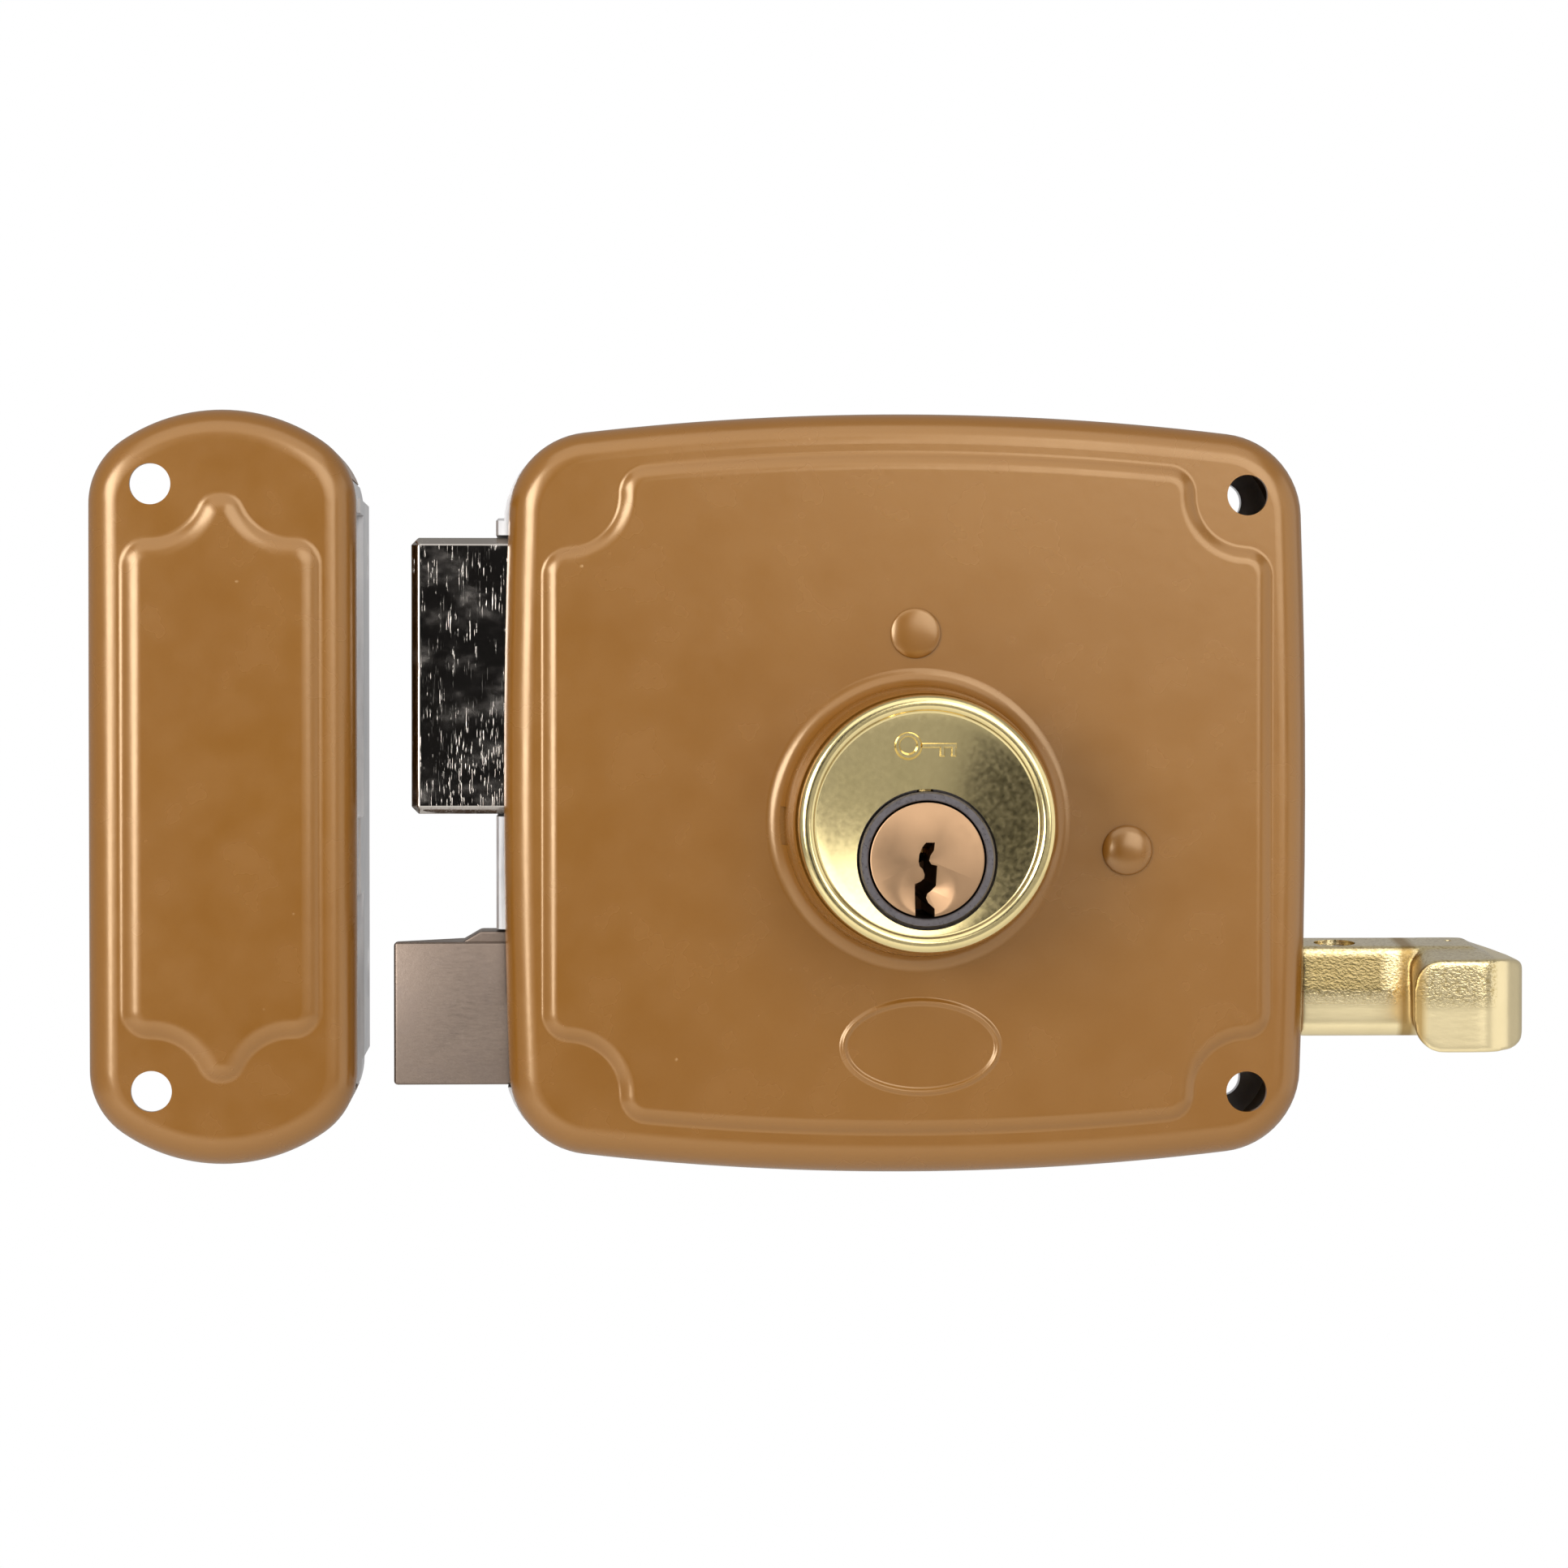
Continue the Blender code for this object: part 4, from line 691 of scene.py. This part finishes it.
def case_cover():
    """The case's pressed cover, with a stake mark by the boss and a slot for the latch's draw bar."""
    skin = Skin(Vector((0, 0, 0)))
    edge = skin.walls(CASE_OUTLINE, -1)
    foot, top = skin.step(case_panel, slope=2.2 * MM)
    fill_flat(skin.bm, [edge, foot])
    rivet_hole = 1.9 * MM
    rivets = [skin.circle(at, rivet_hole, PANEL_Y, sides=24) for at in PILLARS.values()]
    fill_flat(skin.bm, [top, add_boss(skin), add_oval(skin), *rivets])
    cover = skin.finish("case_cover_pressed")
    stake = box("stake", x=(-17.2 * MM, -13.9 * MM), y=(-27.6 * MM, -25.5 * MM), z=(-5.9 * MM, -1.4 * MM))
    bar_low, bar_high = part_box("latch_draw_bar")
    past_wall = 4 * MM
    slot = box("bar_slot", (CASE_HALF_W - past_wall, CASE_HALF_W + THROUGH),
               (bar_low.y - GAP, bar_high.y + GAP), (bar_low.z - 2 * GAP, bar_high.z + 2 * GAP))
    holes = [rod(f"screw_hole_{s}", SCREW_HOLE, PANEL_Y - THROUGH, FACE_Y + SHEET + THROUGH,
                 (CASE_HOLE.x, 0, s * CASE_HOLE.z), sides=48) for s in (1, -1)]
    combine(cover, "DIFFERENCE", slot, stake, *holes)
    stand_for(resharpen(cover), "lock_case", PAINT, "case_cover")


def strike_cover():
    """The strike's pressed cover, open on the side that faces the case."""
    skin = Skin(STRIKE)
    edge = skin.walls(STRIKE_OUTLINE, 1)
    foot, top = skin.step(strike_panel, slope=2.7 * MM)
    holes = [skin.circle(Vector((-STRIKE_HOLE.x, 0, s * STRIKE_HOLE.z)), SCREW_HOLE, FACE_Y)
             for s in (1, -1)]
    fill_flat(skin.bm, [edge, foot, *holes])
    fill_flat(skin.bm, [top])
    cover = skin.finish("strike_cover_pressed")
    stand_for(cover, "strike", PAINT, "strike_cover")


def pillar(name, dome):
    """A painted pillar with its riveted head on the cover."""
    at = PILLARS[name]
    back_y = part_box(name)[1].y
    head_y = PANEL_Y - 0.05 * MM
    edge_y = head_y - 0.12 * MM
    shoulder_y = PANEL_Y + SHEET + GAP
    head, body, neck, chamfer = 2.95 * MM, 3 * MM, 1.6 * MM, 0.2 * MM
    profile = [(0, back_y), (2.8 * MM, back_y), (body, back_y - chamfer), (body, shoulder_y),
               (neck, shoulder_y), (neck, head_y), (head, head_y), (head, edge_y)]
    steps = 10
    for k in range(1, steps + 1):
        a = math.pi / 2 * k / steps
        radius = head * math.cos(a) if k < steps else 0
        profile.append((radius, edge_y - dome * math.sin(a)))
    sharp = 50
    piece = turned(f"{name}_riveted", profile, (at.x, 0, at.z), sides=64, angle=sharp)
    screw_radius, screw_end = 1.7 * MM, -9.5 * MM
    bore = rod("pillar_bore", screw_radius, BACK_Y + THROUGH, screw_end, (at.x, 0, at.z))
    combine(piece, "DIFFERENCE", bore)
    stand_for(resharpen(piece, angle=sharp), "lock_case", PAINT, name)


# ---------------------------------------------------------------- key cylinder

ROSE_HOLE = 8.1 * MM
NOSE = 7.8 * MM
PLUG_BORE = 6.8 * MM
CHAMBER = 1.6 * MM
PIN_NUMBERS = range(1, 6)


def rose():
    """The dished brass ring on the boss, with an off-centre hole for the cylinder's nose."""
    outer = (rose_high.x - rose_low.x) / 2
    front, back = rose_low.y, rose_high.y
    rim = [(outer - 0.35 * MM, back), (outer, back - 0.5 * MM), (outer, front + 1.1 * MM)]
    rim += [(outer - i, front + a) for i, a in quarter_round(0.9 * MM, steps=6)]
    crown, roll, foot = 1.1 * MM, 0.8 * MM, 0.45 * MM
    steepest, shallow = math.radians(58), math.radians(8)
    roll_steps, foot_steps, bowl_steps = 8, 6, 12
    dish = []
    for k in range(roll_steps + 1):
        a = steepest * k / roll_steps
        dish.append((outer - crown - roll * math.sin(a), front + roll * (1 - math.cos(a))))
    at = (dish[-1][0] - foot * math.sin(steepest), dish[-1][1] - foot * math.cos(steepest))
    for k in range(1, foot_steps + 1):
        a = steepest + (shallow - steepest) * k / foot_steps
        dish.append((at[0] + foot * math.sin(a), at[1] + foot * math.cos(a)))
    radius, depth = dish[-1]
    deeper = 1.0 * MM
    bowl = [(radius * (1 - k / bowl_steps), depth + deeper * math.sin(math.pi / 2 * k / bowl_steps))
            for k in range(1, bowl_steps)]
    profile = [(0, back)] + rim + dish + bowl + [(0, depth + deeper)]
    piece = turned("rose_dished", profile, (BOSS.x, 0, BOSS.z), sides=FINE)
    hole = rod("rose_hole", ROSE_HOLE, front - THROUGH, back + THROUGH, AXIS, sides=ROUND)
    combine(piece, "DIFFERENCE", hole)
    stand_for(resharpen(piece, angle=35), "lock_case", ROSE_BRASS, "cylinder_rose")


def key_mark():
    """A small plain key embossed on the rose above the plug."""
    centre = Vector((BOSS.x, 0.0, BOSS.z + 9.0 * MM))
    foot_y, crest_y = rose_low.y + 1.4 * MM, rose_low.y + 0.6 * MM
    profile = ((0.75 * MM, foot_y), (1.8 * MM, foot_y), (1.42 * MM, crest_y), (1.1 * MM, crest_y))
    bow = turned("key_mark", profile, (centre.x - 2.2 * MM, 0, centre.z), sides=40, hollow=True)

    def ridge(name, x, z, top_y):
        foot = 0.22 * MM
        base = rectangle((x[0] - foot, x[1] + foot), (z[0] - foot, z[1] + foot))
        crest = rectangle(x, z)
        return loft(name, [[(a, y, b) for a, b in outline]
                           for y, outline in ((foot_y, base), (top_y, crest))])

    shank = ridge("mark_shank", (centre.x - 0.6 * MM, centre.x + 3.3 * MM),
                  (centre.z - 0.17 * MM, centre.z + 0.17 * MM), crest_y + 0.01 * MM)
    bits = [ridge(f"mark_bit_{k}", (centre.x + x * MM, centre.x + (x + 0.35) * MM),
                  (centre.z - 1.15 * MM, centre.z - 0.1 * MM), crest_y + (0.03 + 0.01 * k) * MM)
            for k, x in enumerate((1.55, 2.85))]
    combine(bow, "UNION", shank, *bits)
    stand_for(resharpen(bow), "lock_case", ROSE_BRASS)


def cylinder_body():
    """The housing: a round body with its nose, the plug's bore and five pin chambers."""
    low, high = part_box("cylinder_body")
    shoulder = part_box("chamber_cap")[0].y - GAP
    body = rod("cylinder_housing", (high.x - low.x) / 2, shoulder, high.y, (BOSS.x, 0, BOSS.z), sides=ROUND)
    edge = 0.2 * MM
    nose = turned("nose", ((0, low.y), (7.6 * MM, low.y), (NOSE, low.y + edge), (NOSE, shoulder + THROUGH),
                           (0, shoulder + THROUGH)), AXIS)
    combine(body, "UNION", nose)
    sink = 0.12 * MM
    bore = turned("bore", ((0, low.y - THROUGH), (7.9 * MM, low.y - THROUGH), (PLUG_BORE, low.y + sink),
                           (PLUG_BORE, high.y + THROUGH), (0, high.y + THROUGH)), AXIS)
    cap_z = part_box("chamber_cap")[0].z - GAP
    half_slot, slot_top = 2.6 * MM, 12 * MM
    slot = box("cap_slot", (AXIS.x - half_slot, AXIS.x + half_slot), (shoulder - THROUGH, high.y + THROUGH),
               (cap_z, slot_top))
    chamber_z = (-2.5 * MM, 11 * MM)
    chambers = [rod(f"chamber_{k}", CHAMBER, *chamber_z, (AXIS.x, centre_of(f"driver_pin_{k}").y, 0),
                    "Z", COARSE) for k in PIN_NUMBERS]
    combine(body, "DIFFERENCE", bore, slot, *chambers)
    stand_for(resharpen(body), "lock_case", RING_STEEL, "cylinder_body")


KEYWAY = (  # millimetres from the plug's axis, right side down and left side up
    (0.85, 1.98), (0.74, 1.10), (0.32, 0.42), (0.20, -0.10), (0.45, -0.52), (1.12, -0.68), (1.05, -3.0),
    (0.62, -3.5), (0.06, -3.95), (-0.08, -4.4), (0.14, -4.95), (0.83, -5.6), (0.83, -7.6),
    (-1.40, -7.6), (-1.40, -2.82), (-0.70, -2.5), (-0.32, -2.15), (-0.28, -1.7), (-0.52, -1.1),
    (-0.88, -0.75), (-1.03, -0.2), (-0.95, 0.6), (-0.60, 1.46), (-0.16, 1.98))


def plug():
    """The plug: its keyway opens in a shallow cone, and its tail blade turns the cam."""
    low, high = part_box("cylinder_plug")
    radius = (high.x - low.x) / 2
    groove, rear, edge = 5.3 * MM, 6.3 * MM, 0.2 * MM
    groove_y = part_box("plug_clip")[0].y - 0.15 * MM
    lip_y = groove_y + 0.75 * MM
    tail_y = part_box("cam")[0].y - GAP
    piece = turned("plug_turned", (
        (0, low.y), (radius - edge, low.y), (radius - 0.05 * MM, low.y + 0.06 * MM),
        (radius, low.y + edge), (radius, groove_y),
        (groove, groove_y), (groove, lip_y), (rear, lip_y), (rear, tail_y), (0, tail_y),
    ), AXIS, sides=FINE)
    half_w, half_h = 3.7 * MM, 1.0 * MM
    blade = box("blade", (AXIS.x - half_w, AXIS.x + half_w), (tail_y - THROUGH, high.y),
                (AXIS.z - half_h, AXIS.z + half_h))
    combine(piece, "UNION", blade)
    mouth, depth = 3.0 * MM, 1.3 * MM
    sink = turned("key_guide", ((0, low.y - THROUGH), (mouth + 1.2 * THROUGH, low.y - THROUGH),
                                (mouth, low.y), (0.6 * MM, low.y + depth), (0, low.y + depth)),
                  (AXIS.x, 0, AXIS.z - 3.3 * MM), sides=64)
    keyway = prism_y("keyway", [(AXIS.x + x * MM, AXIS.z + z * MM) for x, z in KEYWAY],
                     (low.y - THROUGH, groove_y - 0.8 * MM))
    combine(piece, "DIFFERENCE", sink, keyway)
    stand_for(resharpen(piece), "plug", BRONZE, "cylinder_plug")


# ---------------------------------------------------------------- bolts

RIVET_HOLE = 1.7 * MM
PIN_HOLE = 1.5 * MM


def deadbolt():
    """The bolt's head: chamfered edges, a slot for the tail plate and two rivet holes."""
    low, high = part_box("deadbolt_head")
    tail_low, tail_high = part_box("deadbolt_tail")
    head = box("deadbolt_nickelled", (low.x, high.x), (low.y, high.y), (low.z, high.z))
    bevelled(head, width=0.85 * MM, segments=1)
    bevelled(head, width=0.12 * MM, segments=2)
    slot = box("slot", (tail_low.x - GAP, high.x + THROUGH), (tail_low.y - GAP, tail_high.y + GAP),
               (low.z - THROUGH, high.z + THROUGH))
    holes = []
    for k in (1, 2):
        rivet = centre_of(f"deadbolt_rivet_{k}")
        holes.append(rod(f"rivet_hole_{k}", RIVET_HOLE, low.y - THROUGH, high.y + THROUGH,
                         (rivet.x, 0, rivet.z), sides=COARSE))
    combine(head, "DIFFERENCE", slot, *holes)
    stand_for(resharpen(head, angle=12), "deadbolt", BRIGHT_NICKEL, "deadbolt_head")


def latch():
    """The bevelled latch bolt, with a taller shoulder behind its flat front."""
    low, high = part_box("latch_bolt")
    flat_top = high.z - 1.2 * MM
    bevel_end, nose = low.x + 10 * MM, low.y + 1.7 * MM
    outline = ((low.x, low.y), (high.x, low.y), (high.x, high.y), (bevel_end, high.y), (low.x, nose))
    bolt = prism_z("latch_nickelled", outline, (low.z, flat_top))
    bevelled(bolt, width=0.45 * MM, segments=3)
    step, foot_z = low.x + 7.8 * MM, flat_top - 2 * MM
    shoulder = prism_y("shoulder", ((step, foot_z), (high.x - GAP, foot_z), (high.x - GAP, high.z),
                                    (low.x + 10.2 * MM, high.z), (step, flat_top - 0.2 * MM)),
                       (low.y + 0.6 * MM, low.y + 9.1 * MM))
    combine(bolt, "UNION", bevelled(shoulder, width=0.25 * MM, segments=2))
    bar_low, bar_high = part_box("latch_draw_bar")
    guide = centre_of("latch_guide_rod")
    pin = centre_of("latch_pin")
    pocket = box("pocket", (bar_low.x - GAP, high.x + THROUGH), (bar_low.y - GAP, bar_high.y + GAP),
                 (bar_low.z - GAP, bar_high.z + GAP))
    rod_hole = rod("rod_hole", PIN_HOLE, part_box("latch_guide_rod")[0].x - GAP, high.x + THROUGH,
                   (0, guide.y, guide.z), "X", COARSE)
    pin_hole = rod("pin_hole", PIN_HOLE, low.y - THROUGH, high.y + THROUGH, (pin.x, 0, pin.z), sides=COARSE)
    combine(bolt, "DIFFERENCE", pocket, rod_hole, pin_hole)
    stand_for(resharpen(bolt, angle=20), "latch", SATIN_NICKEL, "latch_bolt")


def latch_spring():
    """The compression spring, wound along the box of the CAD spring."""
    low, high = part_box("latch_spring")
    wire, turns, around, sides = 0.45 * MM, 9, 28, 10
    radius = (high.z - low.z) / 2 - wire
    centre = (low + high) / 2
    start, end = low.x + wire, high.x - wire
    along = Vector((1, 0, 0))
    rings = []
    count = turns * around
    for k in range(count + 1):
        angle = TURN * k / around
        out = Vector((0, math.cos(angle), math.sin(angle)))
        middle = Vector((start + (end - start) * k / count, centre.y, centre.z)) + out * radius
        rings.append([middle + wire * (math.cos(b) * out + math.sin(b) * along)
                      for b in (TURN * n / sides for n in range(sides))])
    spring = stand_for(loft("latch_spring_wound", rings), "lock_case", SPRING_STEEL, "latch_spring")
    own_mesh(spring)


def round_corners(corners):
    """A closed outline with each (x, z, radius) corner rounded."""
    steps = 8
    points = []
    for k, (x, z, radius) in enumerate(corners):
        here = Vector((x, z))
        before = (Vector(corners[k - 1][:2]) - here).normalized()
        after = (Vector(corners[(k + 1) % len(corners)][:2]) - here).normalized()
        half = before.angle(after) / 2
        reach = radius / math.tan(half)
        centre = here + (before + after).normalized() * radius / math.sin(half)
        start = here + before * reach - centre
        turn = math.pi - 2 * half
        if before.cross(after) > 0:
            turn = -turn
        for n in range(steps + 1):
            a = turn * n / steps
            points.append(centre + Vector((start.x * math.cos(a) - start.y * math.sin(a),
                                           start.x * math.sin(a) + start.y * math.cos(a))))
    return [tuple(p) for p in points]


def pull_handle():
    """The cast pull: a bar from the case and a thumb pad that stands proud of it, melted into one."""
    low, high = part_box("pull_handle")
    front, back = low.y, high.y
    bottom, top = low.z, high.z
    bar_front = front + 6.9 * MM
    bar_low = bottom + 1.5 * MM
    crease = -23.8 * MM  # height of the recess's lower edge in the bar's front
    pad_x = 60.4 * MM  # where the pad begins
    pad_top = top - 2.1 * MM
    inside_pad = 69.0 * MM

    bar = prism_x("handle_cast", round_corners((
        (bar_front + 0.35 * MM, top - 0.8 * MM, 0.7 * MM), (bar_front, crease, 0.6 * MM),
        (bar_front, bar_low, 1.8 * MM), (back, bar_low, 1.2 * MM), (back, top, 0.5 * MM))),
        (low.x, inside_pad))
    front_face = round_corners((
        (pad_x, pad_top, 3.3 * MM), (pad_x, bottom, 3.6 * MM), (high.x, bottom, 2.6 * MM),
        (high.x, pad_top - 0.15 * MM, 2.4 * MM), (70.5 * MM, pad_top + 0.02 * MM, 3.0 * MM)))
    back_face = round_corners((
        (pad_x + 1.8 * MM, top, 1.2 * MM), (pad_x + 2.4 * MM, bar_low + 0.1 * MM, 3.0 * MM),
        (high.x, bottom + 1.2 * MM, 2.6 * MM), (high.x, top - 2.3 * MM, 1.6 * MM),
        (68.0 * MM, top, 4.0 * MM)))
    pad = loft("pad", [[(x, y, z) for x, z in outline] for y, outline in (
        (front, front_face), (back - 0.4 * MM, back_face))])
    combine(bar, "UNION", pad)
    plan = prism_z("plan", round_corners((
        (low.x, back, 0.3 * MM), (low.x, front - THROUGH, 0.3 * MM),
        (pad_x - 0.1 * MM, front - THROUGH, 0.3 * MM), (pad_x, front, 0.9 * MM),
        (70.6 * MM, front, 5.0 * MM), (high.x - 0.5 * MM, front + 5.0 * MM, 4.0 * MM),
        (high.x, back - 3.4 * MM, 2.0 * MM), (high.x - 3.0 * MM, back, 2.0 * MM))),
        (bottom - THROUGH, top + THROUGH))
    combine(bar, "INTERSECT", plan)
    hollow = ((0.0, crease + 0.1 * MM), (0.07 * MM, crease + 0.3 * MM), (0.05 * MM, top - 2.0 * MM),
              (0.16 * MM, top - 1.6 * MM), (0.5 * MM, top - 1.05 * MM), (1.15 * MM, top - 0.5 * MM),
              (2.2 * MM, top + THROUGH))
    first = (bar_front - THROUGH, crease)
    last = (bar_front - THROUGH, top + 2 * THROUGH)
    recess_start, recess_end = 57.2 * MM, 58.9 * MM
    rings = []
    for x, share in ((low.x - THROUGH, 1.0), (recess_start, 1.0), (recess_end, 0.0)):
        middle = [(bar_front - 0.05 * MM + share * y, z) for y, z in hollow]
        rings.append([(x, y, z) for y, z in (first, *middle, last)])
    combine(bar, "DIFFERENCE", loft("recess", rings))
    modify(bar, "REMESH", mode="VOXEL", voxel_size=0.2 * MM, use_smooth_shade=True)
    modify(bar, "SMOOTH", factor=0.5, iterations=34)
    applied(bar)
    draw_low, draw_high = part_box("latch_draw_bar")
    screw = centre_of("handle_screw")
    pocket = box("pocket", (low.x - THROUGH, draw_high.x + GAP), (draw_low.y - GAP, draw_high.y + GAP),
                 (draw_low.z - GAP, draw_high.z + GAP))
    head_hole, seat_z, above = 2.5 * MM, -19.7 * MM, -16 * MM
    shank_hole, shank_z = 1.3 * MM, (-27.9 * MM, -18 * MM)
    head = rod("head_hole", head_hole, seat_z, above, (screw.x, screw.y, 0), "Z", sides=48)
    shank = rod("shank_hole", shank_hole, *shank_z, (screw.x, screw.y, 0), "Z", COARSE)
    depth, radius, rise = 1.0 * MM, 0.9 * MM, 0.4 * MM
    dimple = turned("dimple", ((0, -depth), (radius, rise), (0, rise)),
                    (66.6 * MM, back - 3.5 * MM, top - 0.1 * MM), "Z", sides=24)
    combine(bar, "DIFFERENCE", pocket, head, shank, dimple)
    stand_for(resharpen(bar, angle=40), "latch", HANDLE_BRASS, "pull_handle")


# ---------------------------------------------------------------- stage, lights and camera

def stage_plane(name, size, at, turn, material):
    """A plain sheet for the stage, not attached to the lock."""
    bm = bmesh.new()
    bmesh.ops.create_grid(bm, x_segments=1, y_segments=1, size=0.5)
    bmesh.ops.transform(bm, verts=bm.verts[:],
                        matrix=Matrix.Translation(at) @ turn @ Matrix.Diagonal((*size, 1.0, 1.0)))
    plane = add_piece(name, bm)
    plane.data.materials.append(material)
    return plane


def soft_light(name, at, size, power):
    """A rectangular area light that faces the frame's origin."""
    data = bpy.data.lights.new(name, "AREA")
    data.shape = "RECTANGLE"
    data.size, data.size_y = size
    data.energy = power
    light = bpy.data.objects.new(name, data)
    light.location = at
    light.rotation_euler = (-Vector(at)).to_track_quat("-Z", "Z").to_euler()
    light.visible_camera = False
    bpy.context.scene.collection.objects.link(light)


def white_world(seen_from_camera, on_the_lock):
    """A white world that lights the lock more weakly than the camera sees it."""
    scene = bpy.context.scene
    scene.view_settings.view_transform = "Standard"
    world = bpy.data.worlds.new("studio")
    world.use_nodes = True
    background = world.node_tree.nodes["Background"]
    background.inputs["Color"].default_value = (1.0, 1.0, 1.0, 1.0)
    seen = world.node_tree.nodes.new("ShaderNodeLightPath")
    strength = world.node_tree.nodes.new("ShaderNodeMapRange")
    strength.inputs["To Min"].default_value = on_the_lock
    strength.inputs["To Max"].default_value = seen_from_camera
    world.node_tree.links.new(seen.outputs["Is Camera Ray"], strength.inputs["Value"])
    world.node_tree.links.new(strength.outputs["Result"], background.inputs["Strength"])
    scene.world = world


def studio():
    """The stage: a white world, a pale floor, a black card that the bolts mirror, and four lights."""
    white_world(seen_from_camera=1.0, on_the_lock=0.45)
    pale = Finish("pale_floor", (0.86, 0.86, 0.85), 0.0, 0.8)
    pale.tint(pale.noise(0.2, 2.0), (0.82, 0.82, 0.81))
    stage_plane("floor", (1.7, 1.7), (0, 0, -0.3), Matrix.Identity(4), pale.material)
    black = Finish("black_card", (0.004, 0.004, 0.004), 0.0, 0.9)
    black.tint(black.noise(0.2, 2.0), (0.006, 0.006, 0.006))
    upright = Matrix.Rotation(math.pi / 2, 4, "X")
    flag = stage_plane("front_flag", (0.17, 0.42), (-0.10, -0.70, 0.05), upright, black.material)
    flag.visible_camera = False
    flag.visible_diffuse = False
    flag.visible_shadow = False

    for name, at, size, watts in (
            ("key_left", (-0.60, -0.72, 0.18), (0.36, 0.6), 6.4),
            ("front_right", (0.34, -0.90, 0.31), (0.6, 0.58), 3.2),
            ("side_right", (0.80, -0.20, 0.0), (0.9, 0.9), 1.8),
            ("top", (0.0, -0.60, 0.80), (1.4, 0.8), 4.0)):
        soft_light(name, at, size, watts)


def camera():
    """A long lens in front of the lock, a little to its left and above its middle."""
    data = bpy.data.cameras.new("camera")
    data.lens = 109.6
    data.sensor_width = 36.0
    eye = Vector((-39.95, -584.0, 12.2)) * MM
    aim = Vector((-14.6, -24.0, 1.2)) * MM
    obj = bpy.data.objects.new("camera", data)
    obj.location = eye
    obj.rotation_euler = (aim - eye).to_track_quat("-Z", "Y").to_euler()
    bpy.context.scene.collection.objects.link(obj)
    bpy.context.scene.camera = obj


# ---------------------------------------------------------------- the whole lock

case_cover()
strike_cover()
pillar("pillar_upper", 0.45 * MM)
pillar("pillar_lower", 1.0 * MM)
rose()
key_mark()
cylinder_body()
plug()
deadbolt()
latch()
latch_spring()
pull_handle()

PLAIN_NODES = {
    ZINC: ("base_plate", "strike_plate", "deadbolt_tail", "spring_bracket", "cam", "chamber_cap"),
    PLATED_STEEL: ("strike_rivet_1", "strike_rivet_2", "pillar_screw_1", "pillar_screw_2", "detent_post",
                   "deadbolt_rivet_1", "deadbolt_rivet_2", "latch_draw_bar", "latch_pin",
                   "latch_guide_rod", "handle_screw"),
    SPRING_STEEL: ("detent_spring", "plug_clip", *(f"pin_spring_{k}" for k in PIN_NUMBERS)),
    PIN_BRASS: tuple(f"{kind}_pin_{k}" for kind in ("key", "driver") for k in PIN_NUMBERS),
}
for finish, names in PLAIN_NODES.items():
    for node in names:
        paint_node(node, finish)

studio()
camera()
